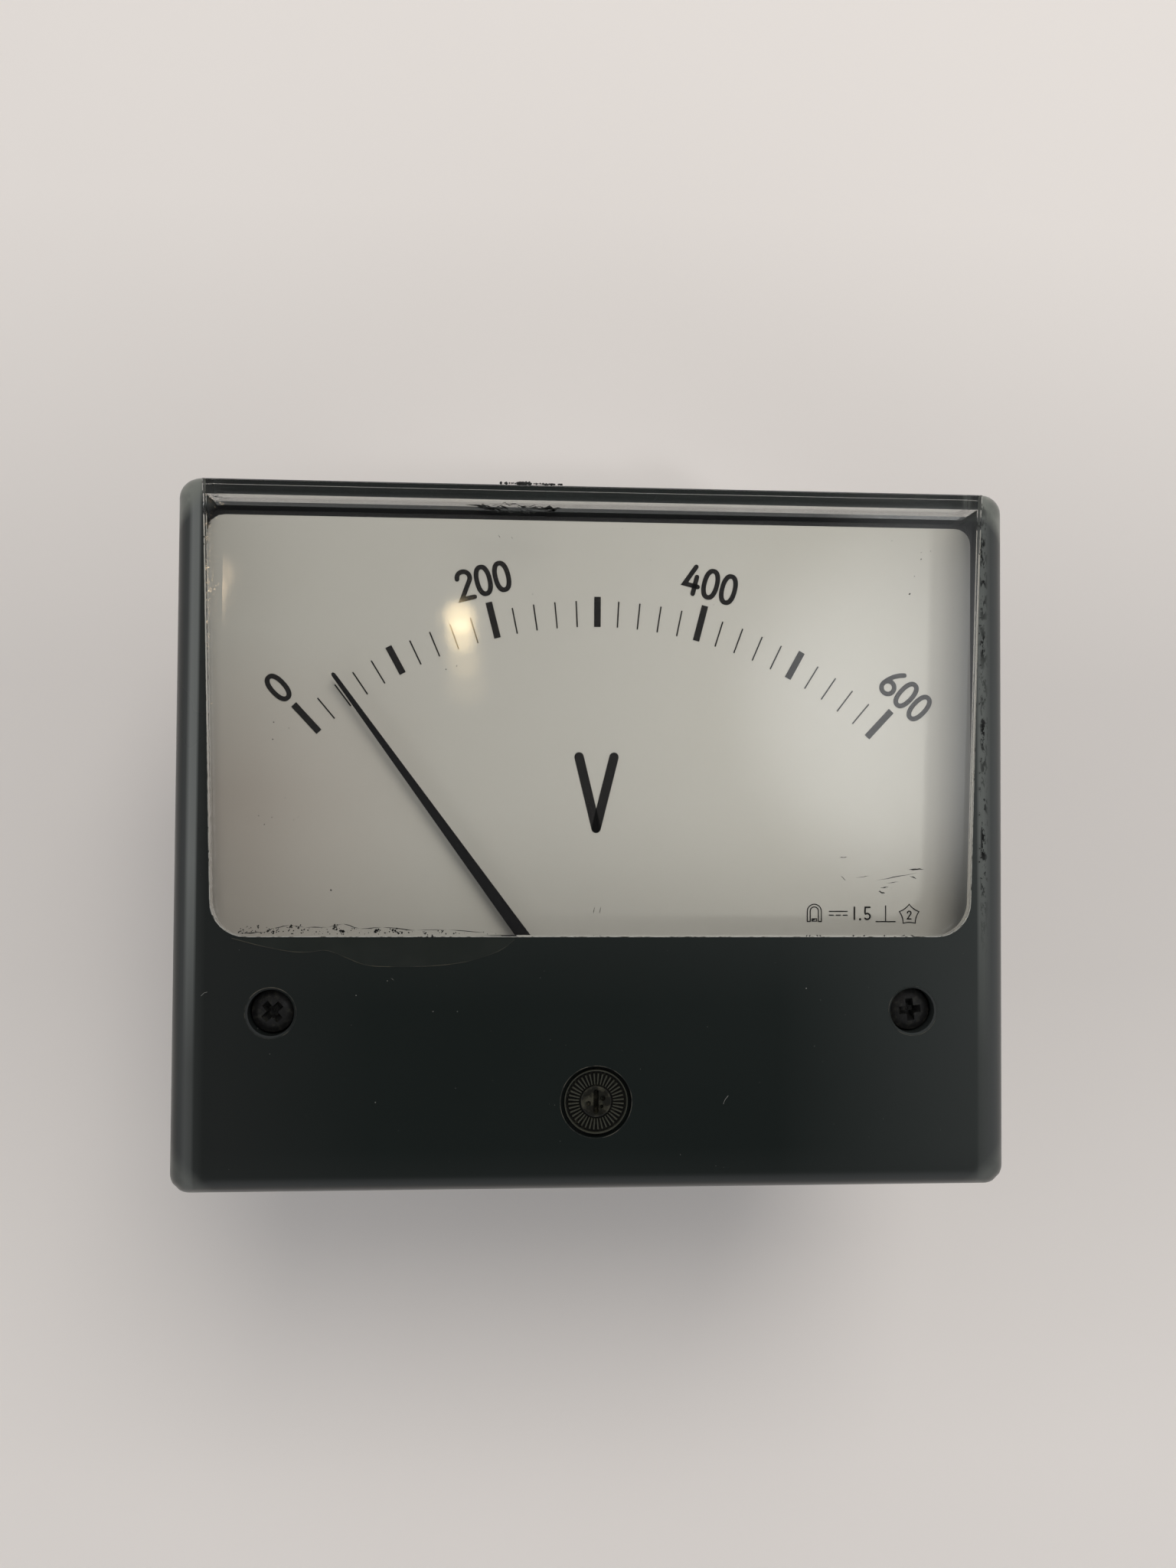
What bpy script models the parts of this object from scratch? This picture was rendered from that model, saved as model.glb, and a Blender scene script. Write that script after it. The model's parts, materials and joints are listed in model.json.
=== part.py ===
"""Panel meter, moving-coil voltmeter with a rectangular front, lying on its back.

Dial faces +Z, the top of the scale is towards +Y, the right-hand side is +X.
The front is centred on X = Y = 0 and the part stands on z = 0. Lengths below are
in millimetres and are turned into metres by MM.
"""
import bpy
import bmesh
from math import sin, cos, pi, radians
from mathutils import Matrix, Vector

MM = 0.001

# ---- driving dimensions, mm ---------------------------------------------------
FRONT_HALF_W = 60.0
FRONT_HALF_H = 50.6
CORNER_R = 2.7
Z_BACK = 12.0
Z_PANEL = 54.0
Z_SEAT = 58.0
Z_CHEEK = 77.75
Z_FRONT = 78.0
WALL = 2.5
EDGE_R_SIDE = 4.5
EDGE_R_TOP = 1.2
EDGE_R_LOW = 3.2
BARREL_R = 40.5
BARREL_Y = -4.0
BARREL_IN = 38.3
SEAT_R = 41.8
RIB_T = 1.8
RIB_X = 34.0
RIB_Y = 14.0
GAP = 0.3
EDGE_STEPS = 6
SOFT_CUT = (0.0, 24.0, 66.0, 90.0)
ROUND_CORNER = (0.0, 22.5, 45.0, 67.5, 90.0)
PAD_R = 5.0
PAD_TOP = (55.8, 49.3)
PAD_LOW = (54.0, -14.2)
CAVITY_TOP = Z_FRONT - WALL
CAVITY_R = 1.2

FLANGE_HALF = (59.6, 50.2)
LIP_OUT = (57.1, 47.7)
LIP_IN = (55.4, 46.2)
LIP_R = 1.0
BARREL_FLOOR = 3.0
SEAT_T = 1.4

PIVOT_Y = -28.9
REST_ANGLE = radians(36.3)
STOP_ANGLE = radians(45.5)
POINTER_TIP_R = 64.9
POINTER_TIP_W = 0.6
POINTER_HUB_W = 2.3

DIAL_TOP = 69.2
DIAL_T = 0.8
DIAL_HALF_W = 57.0
DIAL_TOP_Y = 46.75
DIAL_R = 2.4
DIAL_SEAT = DIAL_TOP - DIAL_T - GAP

COVER_SCREW = (45.5, -24.85)
DIAL_SCREW = (37.5, -19.5)
DIAL_POST = (40.0, 42.0)
BOARD_SCREW = (16.0, 14.0)
STUD = (50.0, 40.0)
TERMINAL_X = 19.0
ADJ_Y = -37.5
ADJ_SINK_R = 5.0
ADJ_BORE_R = 2.5
PIN_E = 1.3
PIN_R = 0.5
COVER_POST_R = 5.2
COVER_POST_END = 64.3
HEAD_SINK_R = 3.55
HEAD_SEAT = 74.0
SCREW_BORE_R = 1.8
SCREW_CORE_R = 1.5
DIAL_POST_R = 2.5
DIAL_BOSS_R = 3.2
MOVE_POST_R = 4.5
MOVE_POST_END = 40.2
BOARD_POST_R = 3.0
BOARD_POST_END = 27.7
STUD_BORE_R = 2.3
STUD_HEAD_BORE_R = 3.8
TERMINAL_BORE_R = 3.3

COIL_U = 8.0
CORE_R = 7.5
YOKE_IN = 10.3
YOKE_OUT = 13.0
YOKE_Z = (50.0, 64.0)
CORE_Z = (51.0, 63.0)
MOVE_SCREW_X = 16.2
MOVE_HOLE_R = 1.6
EAR_X = 19.2
EAR_HALF = 3.2
BRIDGE_T = 1.2
BRIDGE_TOP = 75.0
BRIDGE_FOOT = 64.3
REAR_BRIDGE_Z = (40.5, 43.0)
JEWEL_HOLE_R = 1.8
ORIGIN_Z = 71.0
BLADE_Z = (70.9, 71.3)
CROSS_Z = (70.1, 70.6)
LEVER_Z = (73.1, 73.5)
HUB_R = 2.3
SPINDLE_HOLE_R = 1.1
ARM_R = 9.0
ARM_HALF = 0.4
SPACER_HALF = radians(21)
SPACER_R = (7.8, 10.0)
STOP_R = 12.0
STOP_PIN_R = 0.45
FORK_IN = PIN_R + 0.15
FORK_OUT = FORK_IN + 0.75
SPRING_IN = 1.35
SPRING_TURNS = 3.25
SPRING_T = 0.14
WIRE_R = 0.8

FINE = 72
ROUND = 32
SMALL = 20
TINY = 12

# ---- materials ----------------------------------------------------------------
PALETTE = {
    "clear_acrylic": ((0.80, 0.83, 0.80, 0.30), 0.05, 0.0),
    "black_phenolic": ((0.030, 0.030, 0.032, 1.0), 0.45, 0.0),
    "dial_white": ((0.66, 0.64, 0.58, 1.0), 0.45, 0.0),
    "black_screw": ((0.030, 0.030, 0.030, 1.0), 0.35, 0.6),
    "bright_steel": ((0.60, 0.60, 0.62, 1.0), 0.28, 1.0),
    "brass": ((0.72, 0.53, 0.22, 1.0), 0.30, 1.0),
    "soft_iron": ((0.36, 0.35, 0.34, 1.0), 0.42, 1.0),
    "magnet": ((0.22, 0.22, 0.23, 1.0), 0.40, 0.8),
    "aluminium": ((0.78, 0.78, 0.79, 1.0), 0.32, 1.0),
    "copper_wire": ((0.62, 0.28, 0.12, 1.0), 0.35, 0.9),
    "bronze_strip": ((0.66, 0.44, 0.22, 1.0), 0.30, 1.0),
    "pointer_black": ((0.012, 0.012, 0.013, 1.0), 0.50, 0.0),
    "jewel": ((0.55, 0.05, 0.12, 1.0), 0.10, 0.0),
    "olive_plastic": ((0.035, 0.038, 0.030, 1.0), 0.40, 0.0),
    "circuit_board": ((0.16, 0.10, 0.045, 1.0), 0.55, 0.0),
    "resistor_body": ((0.25, 0.42, 0.50, 1.0), 0.50, 0.0),
    "wire_red": ((0.50, 0.03, 0.02, 1.0), 0.50, 0.0),
    "wire_black": ((0.02, 0.02, 0.02, 1.0), 0.50, 0.0),
    "gasket_rubber": ((0.04, 0.04, 0.04, 1.0), 0.80, 0.0),
}


def material(name):
    found = bpy.data.materials.get(name)
    if found:
        return found
    color, rough, metal = PALETTE[name]
    made = bpy.data.materials.new(name)
    made.use_nodes = True
    shader = made.node_tree.nodes["Principled BSDF"]
    shader.inputs["Base Color"].default_value = color
    shader.inputs["Roughness"].default_value = rough
    shader.inputs["Metallic"].default_value = metal
    shader.inputs["Alpha"].default_value = color[3]
    return made


# ---- outlines, as lists of (x, y) in mm, counter-clockwise ---------------------
def circle(x, y, r, n):
    return [(x + r * cos(2 * pi * i / n), y + r * sin(2 * pi * i / n)) for i in range(n)]


def round_rect(hx, hy, r, steps=5, x=0.0, y=0.0):
    points = []
    for sx, sy, start in ((1, 1, 0), (-1, 1, 90), (-1, -1, 180), (1, -1, 270)):
        for i in range(steps + 1):
            a = radians(start + 90.0 * i / steps)
            points.append((x + sx * (hx - r) + r * cos(a), y + sy * (hy - r) + r * sin(a)))
    return points


def rect(x0, y0, x1, y1):
    return [(x0, y0), (x1, y0), (x1, y1), (x0, y1)]


def turned(points, angle, cx=0.0, cy=0.0):
    c = cos(angle)
    s = sin(angle)
    return [(cx + (x - cx) * c - (y - cy) * s, cy + (x - cx) * s + (y - cy) * c) for x, y in points]


def mirrored(points):
    return [(-x, y) for x, y in reversed(points)]


# ---- solids ---------------------------------------------------------------------
def loft(rings):
    """Closed solid through rings of (x, y, z), all counter-clockwise from above, low to high."""
    bm = bmesh.new()
    loops = [[bm.verts.new((x * MM, y * MM, z * MM)) for x, y, z in ring] for ring in rings]
    count = len(loops[0])
    for low, high in zip(loops, loops[1:]):
        for i in range(count):
            j = (i + 1) % count
            bm.faces.new((low[i], low[j], high[j], high[i]))
    bm.faces.new(list(reversed(loops[0])))
    bm.faces.new(loops[-1])
    return bm


def prism(outline, z0, z1):
    return loft([[(x, y, z0) for x, y in outline], [(x, y, z1) for x, y in outline]])


def pierced(outline, holes, z0, z1):
    """Flat plate with the given outline and through holes."""
    bm = bmesh.new()
    for z in (z0, z1):
        edges = []
        for ring in [outline] + holes:
            verts = [bm.verts.new((x * MM, y * MM, z * MM)) for x, y in ring]
            edges += [bm.edges.new((verts[i - 1], verts[i])) for i in range(len(verts))]
        bmesh.ops.triangle_fill(bm, edges=edges, use_beauty=True, use_dissolve=False)
    bm.verts.ensure_lookup_table()
    half = len(bm.verts) // 2
    start = 0
    for ring in [outline] + holes:
        n = len(ring)
        for i in range(n):
            j = (i + 1) % n
            a = bm.verts[start + i]
            b = bm.verts[start + j]
            c = bm.verts[half + start + j]
            d = bm.verts[half + start + i]
            bm.faces.new((a, b, c, d))
        start += n
    bmesh.ops.recalc_face_normals(bm, faces=bm.faces)
    return bm


def lathe(profile, n, x=0.0, y=0.0):
    """Solid or tube of revolution about a vertical axis through (x, y).

    profile is a closed run of (radius, z); a radius of 0 is a point on the axis.
    """
    bm = bmesh.new()
    rows = []
    for r, z in profile:
        if r == 0.0:
            rows.append([bm.verts.new((x * MM, y * MM, z * MM))])
        else:
            rows.append([bm.verts.new((px * MM, py * MM, z * MM)) for px, py in circle(x, y, r, n)])
    closed = profile[0][0] > 0.0
    pairs = list(zip(rows, rows[1:]))
    if closed:
        pairs.append((rows[-1], rows[0]))
    for low, high in pairs:
        for i in range(n):
            j = (i + 1) % n
            if len(low) == 1:
                bm.faces.new((low[0], high[j], high[i]))
            elif len(high) == 1:
                bm.faces.new((low[i], low[j], high[0]))
            else:
                bm.faces.new((low[i], low[j], high[j], high[i]))
    bmesh.ops.recalc_face_normals(bm, faces=bm.faces)
    return bm


def rod(r, z0, z1, n, x=0.0, y=0.0):
    return prism(circle(x, y, r, n), z0, z1)


def tube(r0, r1, z0, z1, n, x=0.0, y=0.0):
    return lathe([(r0, z0), (r1, z0), (r1, z1), (r0, z1)], n, x, y)


def box(x0, y0, z0, x1, y1, z1):
    return prism(rect(x0, y0, x1, y1), z0, z1)


def extruded_y(profile, y0, y1):
    """Solid whose (x, z) profile, counter-clockwise seen from -Y, runs from y0 to y1."""
    bm = bmesh.new()
    front = [bm.verts.new((x * MM, y0 * MM, z * MM)) for x, z in profile]
    rear = [bm.verts.new((x * MM, y1 * MM, z * MM)) for x, z in profile]
    n = len(profile)
    bm.faces.new(front)
    bm.faces.new(list(reversed(rear)))
    for i in range(n):
        j = (i + 1) % n
        bm.faces.new((front[j], front[i], rear[i], rear[j]))
    bmesh.ops.recalc_face_normals(bm, faces=bm.faces)
    return bm


def swept(path, r, n):
    """Round wire of radius r along a run of (x, y, z) points."""
    points = [Vector(p) for p in path]
    bm = bmesh.new()
    rings = []
    side = None
    for i, p in enumerate(points):
        before = points[max(i - 1, 0)]
        after = points[min(i + 1, len(points) - 1)]
        ahead = (after - before).normalized()
        if side is None:
            side = ahead.orthogonal().normalized()
        side = (side - ahead * side.dot(ahead)).normalized()
        up = ahead.cross(side)
        ring = [p + (side * cos(2 * pi * k / n) + up * sin(2 * pi * k / n)) * r for k in range(n)]
        rings.append([bm.verts.new(q * MM) for q in ring])
    for low, high in zip(rings, rings[1:]):
        for k in range(n):
            m = (k + 1) % n
            bm.faces.new((low[k], low[m], high[m], high[k]))
    bm.faces.new(list(reversed(rings[0])))
    bm.faces.new(rings[-1])
    bmesh.ops.recalc_face_normals(bm, faces=bm.faces)
    return bm


def spiral(r0, r1, turns, start, z0, z1, thick, per_turn, y):
    """Flat hairspring strip wound from r0 out to r1 about (0, y)."""
    steps = int(turns * per_turn)
    bm = bmesh.new()
    rows = []
    for i in range(steps + 1):
        f = i / steps
        a = start + 2 * pi * turns * f
        r = r0 + (r1 - r0) * f
        row = []
        for radius, z in ((r, z0), (r + thick, z0), (r + thick, z1), (r, z1)):
            row.append(bm.verts.new((radius * cos(a) * MM, (y + radius * sin(a)) * MM, z * MM)))
        rows.append(row)
    for low, high in zip(rows, rows[1:]):
        for k in range(4):
            m = (k + 1) % 4
            bm.faces.new((low[k], low[m], high[m], high[k]))
    bm.faces.new(list(reversed(rows[0])))
    bm.faces.new(rows[-1])
    bmesh.ops.recalc_face_normals(bm, faces=bm.faces)
    return bm


# ---- objects ----------------------------------------------------------------------
def as_object(name, bm, slot):
    mesh = bpy.data.meshes.new(name)
    bm.to_mesh(mesh)
    bm.free()
    mesh.shade_smooth()
    mesh.set_sharp_from_angle(angle=radians(35))
    obj = bpy.data.objects.new(name, mesh)
    bpy.context.scene.collection.objects.link(obj)
    mesh.materials.append(material(slot))
    return obj


def boolean(obj, bm, how):
    tool = as_object("tool", bm, "black_phenolic")
    step = obj.modifiers.new(how, "BOOLEAN")
    step.operation = how
    step.solver = "EXACT"
    step.object = tool
    graph = bpy.context.evaluated_depsgraph_get()
    result = bpy.data.meshes.new_from_object(obj.evaluated_get(graph))
    obj.modifiers.clear()
    slot = obj.data.materials[0]
    obj.data = result
    obj.data.materials.clear()
    obj.data.materials.append(slot)
    bpy.data.objects.remove(tool, do_unlink=True)
    for poly in obj.data.polygons:
        poly.material_index = 0


def add(obj, *solids):
    for bm in solids:
        boolean(obj, bm, "UNION")


def cut(obj, *solids):
    for bm in solids:
        boolean(obj, bm, "DIFFERENCE")


def place_origin(obj, x, y, z):
    """Move the object's origin to (x, y, z) mm, leaving its solid where it is."""
    at = Vector((x, y, z)) * MM
    obj.data.transform(Matrix.Translation(-at))
    obj.location = at


for old in list(bpy.data.objects):
    bpy.data.objects.remove(old, do_unlink=True)

# ---- clear front cover --------------------------------------------------------------
def cover_ring(t, z):
    """Outline of the cover's outside where the edge rounding has turned through t.

    The upper corners are round and the lower ones are softly cut off.
    """
    left = 1 - cos(t)
    x = FRONT_HALF_W - EDGE_R_SIDE * left - CORNER_R
    top = FRONT_HALF_H - EDGE_R_TOP * left - CORNER_R
    low = FRONT_HALF_H - EDGE_R_LOW * left - CORNER_R
    ring = []
    upper = ((x, top, 0, ROUND_CORNER), (-x, top, 90, ROUND_CORNER))
    lower = ((-x, -low, 180, SOFT_CUT), (x, -low, 270, SOFT_CUT))
    for cx, cy, start, turns in upper + lower:
        for turn in turns:
            a = radians(start + turn)
            ring.append((cx + CORNER_R * cos(a), cy + CORNER_R * sin(a), z))
    return ring


outer = [cover_ring(0, Z_SEAT)]
for i in range(EDGE_STEPS + 1):
    t = radians(90.0 * i / EDGE_STEPS)
    outer.append(cover_ring(t, Z_CHEEK - EDGE_R_SIDE + EDGE_R_SIDE * sin(t)))
cover = as_object("front_cover", loft(outer), "clear_acrylic")

pad = [PAD_TOP, (-PAD_TOP[0], PAD_TOP[1])]
for sgn, first in ((-1, 180), (1, 270)):
    for i in range(5):
        a = radians(first + 90.0 * i / 4)
        pad.append((sgn * (PAD_LOW[0] - PAD_R) + PAD_R * cos(a), PAD_LOW[1] + PAD_R + PAD_R * sin(a)))
add(cover, prism(pad, Z_FRONT - 2.0, Z_FRONT))
cavity = round_rect(FRONT_HALF_W - WALL, FRONT_HALF_H - WALL, CAVITY_R, 3)
cut(cover, prism(cavity, Z_SEAT - 1, CAVITY_TOP))
for s in (-1, 1):
    x = s * COVER_SCREW[0]
    y = COVER_SCREW[1]
    add(cover, rod(COVER_POST_R, COVER_POST_END, CAVITY_TOP + 1.0, 28, x, y))
    cut(cover, rod(HEAD_SINK_R, HEAD_SEAT, Z_FRONT + 1.0, 28, x, y))
    cut(cover, rod(SCREW_BORE_R, COVER_POST_END - 4.3, HEAD_SEAT + 1.0, SMALL, x, y))
cut(cover, rod(ADJ_SINK_R, Z_FRONT - 1.5, Z_FRONT + 1.0, 36, 0, ADJ_Y))
cut(cover, rod(ADJ_BORE_R, CAVITY_TOP - 1.5, Z_FRONT - 1.0, SMALL, 0, ADJ_Y))

# ---- black flange that the cover and the panel sit against -----------------------------
flange_outline = round_rect(FLANGE_HALF[0], FLANGE_HALF[1], CORNER_R, 4)
flange_hole = circle(0, BARREL_Y, BARREL_R + GAP, FINE)
flange_plate = pierced(flange_outline, [flange_hole], Z_PANEL, Z_SEAT - GAP)
flange = as_object("mounting_flange", flange_plate, "black_phenolic")
lip_outline = round_rect(LIP_OUT[0], LIP_OUT[1], LIP_R, 2)
lip_hole = round_rect(LIP_IN[0], LIP_IN[1], LIP_R, 2)
add(flange, pierced(lip_outline, [lip_hole], Z_SEAT - 1.0, DIAL_SEAT))
for s in (-1, 1):
    x = s * COVER_SCREW[0]
    y = COVER_SCREW[1]
    add(flange, rod(COVER_POST_R, Z_PANEL + 1.0, COVER_POST_END - GAP, 24, x, y))
    cut(flange, rod(SCREW_BORE_R, Z_PANEL + 1.2, COVER_POST_END + 1.7, 16, x, y))
    add(flange, rod(DIAL_POST_R, Z_PANEL + 1.0, DIAL_SEAT, 16, s * DIAL_POST[0], DIAL_POST[1]))
    for t in (-1, 1):
        cut(flange, rod(STUD_BORE_R, Z_PANEL - 1.0, Z_SEAT, SMALL, s * STUD[0], t * STUD[1]))
        cut(flange, rod(STUD_HEAD_BORE_R, Z_PANEL + 1.2, Z_SEAT, SMALL, s * STUD[0], t * STUD[1]))

# ---- black barrel: cup, seat ring, inner posts and the terminal barrier ribs -------------
barrel_profile = [
    (0.0, Z_BACK), (BARREL_R - 1.0, Z_BACK), (BARREL_R, Z_BACK + 1.0), (BARREL_R, Z_SEAT), (SEAT_R, Z_SEAT),
    (SEAT_R, Z_SEAT + SEAT_T), (BARREL_IN, Z_SEAT + SEAT_T), (BARREL_IN, Z_BACK + BARREL_FLOOR),
    (0.0, Z_BACK + BARREL_FLOOR),
]
barrel = as_object("rear_barrel", lathe(barrel_profile, FINE, 0, BARREL_Y), "black_phenolic")
for s in (-1, 1):
    add(barrel, rod(DIAL_BOSS_R, Z_SEAT + 0.5, DIAL_SEAT, SMALL, s * DIAL_SCREW[0], DIAL_SCREW[1]))
    cut(barrel, rod(SCREW_CORE_R, 62.0, 72.0, TINY, s * DIAL_SCREW[0], DIAL_SCREW[1]))
    add(barrel, rod(MOVE_POST_R, Z_BACK + 1.0, MOVE_POST_END, SMALL, s * MOVE_SCREW_X, PIVOT_Y))
    cut(barrel, rod(SCREW_CORE_R, 24.0, MOVE_POST_END + 1.8, TINY, s * MOVE_SCREW_X, PIVOT_Y))
    add(barrel, rod(BOARD_POST_R, Z_BACK + 1.0, BOARD_POST_END, 16, s * BOARD_SCREW[0], BOARD_SCREW[1]))
    cut(barrel, rod(1.4, 20.0, BOARD_POST_END + 1.3, TINY, s * BOARD_SCREW[0], BOARD_SCREW[1]))
    cut(barrel, rod(TERMINAL_BORE_R, Z_BACK - 1.0, Z_BACK + 4.0, 24, s * TERMINAL_X, BARREL_Y))
for s in (-1, 1):
    y = BARREL_Y + s * RIB_Y
    add(barrel, box(-RIB_X, y - RIB_T / 2, 0.0, RIB_X, y + RIB_T / 2, Z_BACK + 0.5))
add(barrel, box(-RIB_T / 2, BARREL_Y - RIB_Y, 0.0, RIB_T / 2, BARREL_Y + RIB_Y, Z_BACK + 0.5))

# ---- dial plate and its screws --------------------------------------------------------
right = [(18.0, -17.0), (33.0, -17.0), (33.0, -22.5), (40.0, -22.5), (40.0, -17.5), (DIAL_HALF_W, -17.5)]
corners = []
for sgn, first in ((1, 0), (-1, 90)):
    for i in range(6):
        a = radians(first + 18.0 * i)
        x = sgn * (DIAL_HALF_W - DIAL_R) + DIAL_R * cos(a)
        corners.append((x, DIAL_TOP_Y - DIAL_R + DIAL_R * sin(a)))
dial_outline = right + corners + mirrored(right)
dial_holes = [circle(s * DIAL_SCREW[0], DIAL_SCREW[1], SCREW_CORE_R, TINY) for s in (-1, 1)]
as_object("dial_plate", pierced(dial_outline, dial_holes, DIAL_TOP - DIAL_T, DIAL_TOP), "dial_white")


def pan_screw(name, x, y, head_z, head_r, head_h, shank_r, tip_z, kind="bright_steel"):
    """Round-headed screw without its slot; head_z is the underside of its head."""
    profile = [
        (0.0, tip_z),
        (shank_r * 0.7, tip_z),
        (shank_r, tip_z + shank_r * 0.5),
        (shank_r, head_z),
        (head_r, head_z),
        (head_r, head_z + head_h * 0.55),
        (head_r * 0.82, head_z + head_h * 0.9),
        (head_r * 0.5, head_z + head_h),
        (0.0, head_z + head_h),
    ]
    return as_object(name, lathe(profile, SMALL, x, y), kind)


def slotted(screw, x, y, z, half, wide, angles):
    """Cut a bar-shaped slot at each angle into the screw head at (x, y), down to z."""
    for angle in angles:
        bar = turned(rect(x - half, y - wide / 2, x + half, y + wide / 2), angle, x, y)
        cut(screw, prism(bar, z, Z_FRONT + 1.0))


COVER_HEAD = HEAD_SEAT + GAP
for s, side, lean in ((-1, "left", 40), (1, "right", 8)):
    x = s * COVER_SCREW[0]
    y = COVER_SCREW[1]
    screw = pan_screw("cover_screw_" + side, x, y, COVER_HEAD, 3.05, 2.1, 1.5, 56.0, "black_screw")
    slotted(screw, x, y, COVER_HEAD + 0.882, 1.891, 0.9, (radians(lean), radians(lean + 90)))
    rows = (
        ("dial_screw_", DIAL_SCREW[0], DIAL_SCREW[1], DIAL_TOP + GAP, 2.2, 1.2, 63.0),
        ("board_screw_", BOARD_SCREW[0], BOARD_SCREW[1], 29.9, 2.2, 1.1, 21.0),
        ("movement_screw_", MOVE_SCREW_X, PIVOT_Y, 65.8, 2.3, 1.2, 26.0),
    )
    for name, x, y, head_z, head_r, shank_r, tip_z in rows:
        screw = pan_screw(name + side, s * x, y, head_z, head_r, 1.5, shank_r, tip_z)
        slotted(screw, s * x, y, head_z + 0.63, head_r * 1.2, 0.6, (0.0,))

# ---- fixed part of the movement -------------------------------------------------------
ears = rect(-EAR_X, PIVOT_Y - EAR_HALF, EAR_X, PIVOT_Y + EAR_HALF)
yoke = as_object("yoke_ring", rod(YOKE_OUT, YOKE_Z[0], YOKE_Z[1], 48, 0, PIVOT_Y), "soft_iron")
add(yoke, prism(ears, YOKE_Z[0] + 0.2, YOKE_Z[1] - 0.2))
cut(yoke, rod(YOKE_IN, YOKE_Z[0] - 1.0, YOKE_Z[1] + 1.0, 48, 0, PIVOT_Y))
for s in (-1, 1):
    cut(yoke, rod(MOVE_HOLE_R, YOKE_Z[0] - 1.0, YOKE_Z[1] + 1.0, TINY, s * MOVE_SCREW_X, PIVOT_Y))

as_object("core_magnet", rod(CORE_R, CORE_Z[0], CORE_Z[1], 40, 0, PIVOT_Y), "magnet")

for name, mid in (("core_spacer_upper", pi / 2), ("core_spacer_lower", -pi / 2)):
    sector = []
    for r, way in ((SPACER_R[1], 1), (SPACER_R[0], -1)):
        for i in range(7):
            a = mid + way * (2 * SPACER_HALF * i / 6 - SPACER_HALF)
            sector.append((r * cos(a), PIVOT_Y + r * sin(a)))
    as_object(name, prism(sector, CORE_Z[0], CORE_Z[1]), "brass")

rear_plate = rect(-EAR_X, PIVOT_Y - 4.5, EAR_X, PIVOT_Y + 4.5)
rear_bridge = as_object("rear_bridge", prism(rear_plate, REAR_BRIDGE_Z[0], REAR_BRIDGE_Z[1]), "brass")
for s in (-1, 1):
    add(rear_bridge, rod(2.7, REAR_BRIDGE_Z[1] - 1.0, YOKE_Z[0] - GAP, SMALL, s * MOVE_SCREW_X, PIVOT_Y))
    cut(rear_bridge, rod(MOVE_HOLE_R, REAR_BRIDGE_Z[0] - 1.5, YOKE_Z[0] + 2.0, TINY, s * MOVE_SCREW_X, PIVOT_Y))
cut(rear_bridge, rod(JEWEL_HOLE_R, REAR_BRIDGE_Z[0] - 1.5, REAR_BRIDGE_Z[1] + 1.0, SMALL, 0, PIVOT_Y))
add(rear_bridge, box(-0.5, PIVOT_Y - 5.3, REAR_BRIDGE_Z[0], 0.5, PIVOT_Y - 4.4, 46.6))

INNER_X = 12.6
OUTER_X = INNER_X + BRIDGE_T
foot_top = BRIDGE_FOOT + BRIDGE_T
roof = BRIDGE_TOP - BRIDGE_T
hat = [
    (-EAR_X, BRIDGE_FOOT), (-INNER_X, BRIDGE_FOOT), (-INNER_X, roof), (INNER_X, roof), (INNER_X, BRIDGE_FOOT),
    (EAR_X, BRIDGE_FOOT), (EAR_X, foot_top), (OUTER_X, foot_top), (OUTER_X, BRIDGE_TOP), (-OUTER_X, BRIDGE_TOP),
    (-OUTER_X, foot_top), (-EAR_X, foot_top),
]
front_bridge = as_object("front_bridge", extruded_y(hat, PIVOT_Y - EAR_HALF, PIVOT_Y + EAR_HALF), "brass")
cut(front_bridge, rod(JEWEL_HOLE_R, roof - 0.8, BRIDGE_TOP + 1.0, SMALL, 0, PIVOT_Y))
for s in (-1, 1):
    cut(front_bridge, rod(MOVE_HOLE_R, BRIDGE_FOOT - 1.3, foot_top + 1.5, TINY, s * MOVE_SCREW_X, PIVOT_Y))

as_object(
    "front_jewel_screw",
    lathe([(1.15, 72.9), (1.5, 72.9), (1.5, 75.2), (0.4, 75.2), (0.4, 74.7), (1.15, 74.7)], SMALL, 0, PIVOT_Y),
    "brass",
)
as_object(
    "front_jewel",
    lathe([(0.0, 74.2), (0.5, 73.9), (0.85, 73.9), (0.85, 74.4), (0.0, 74.4)], 16, 0, PIVOT_Y),
    "jewel",
)
as_object(
    "rear_jewel_screw",
    lathe([(0.4, 39.6), (1.5, 39.6), (1.5, 44.3), (1.15, 44.3), (1.15, 42.6), (0.4, 42.6)], SMALL, 0, PIVOT_Y),
    "brass",
)
as_object(
    "rear_jewel",
    lathe([(0.0, 42.9), (0.85, 42.9), (0.85, 43.4), (0.5, 43.4), (0.0, 43.1)], 16, 0, PIVOT_Y),
    "jewel",
)

stop_turn = STOP_ANGLE + (1.15 + STOP_PIN_R + 0.12) / STOP_R
for name, sgn in (("stop_low", -1), ("stop_high", 1)):
    x = sgn * STOP_R * sin(stop_turn)
    y = PIVOT_Y + STOP_R * cos(stop_turn)
    as_object(name, rod(STOP_PIN_R, BRIDGE_FOOT, 72.2, TINY, x, y), "bright_steel")

# ---- moving system, drawn at mid scale and turned back to its rest reading -----------


def settle(obj):
    """Turn a moving piece from mid scale to where the pointer rests, origin on the pivot axis."""
    place_origin(obj, 0, PIVOT_Y, ORIGIN_Z)
    obj.data.transform(Matrix.Rotation(REST_ANGLE, 4, "Z"))
    return obj


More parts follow.
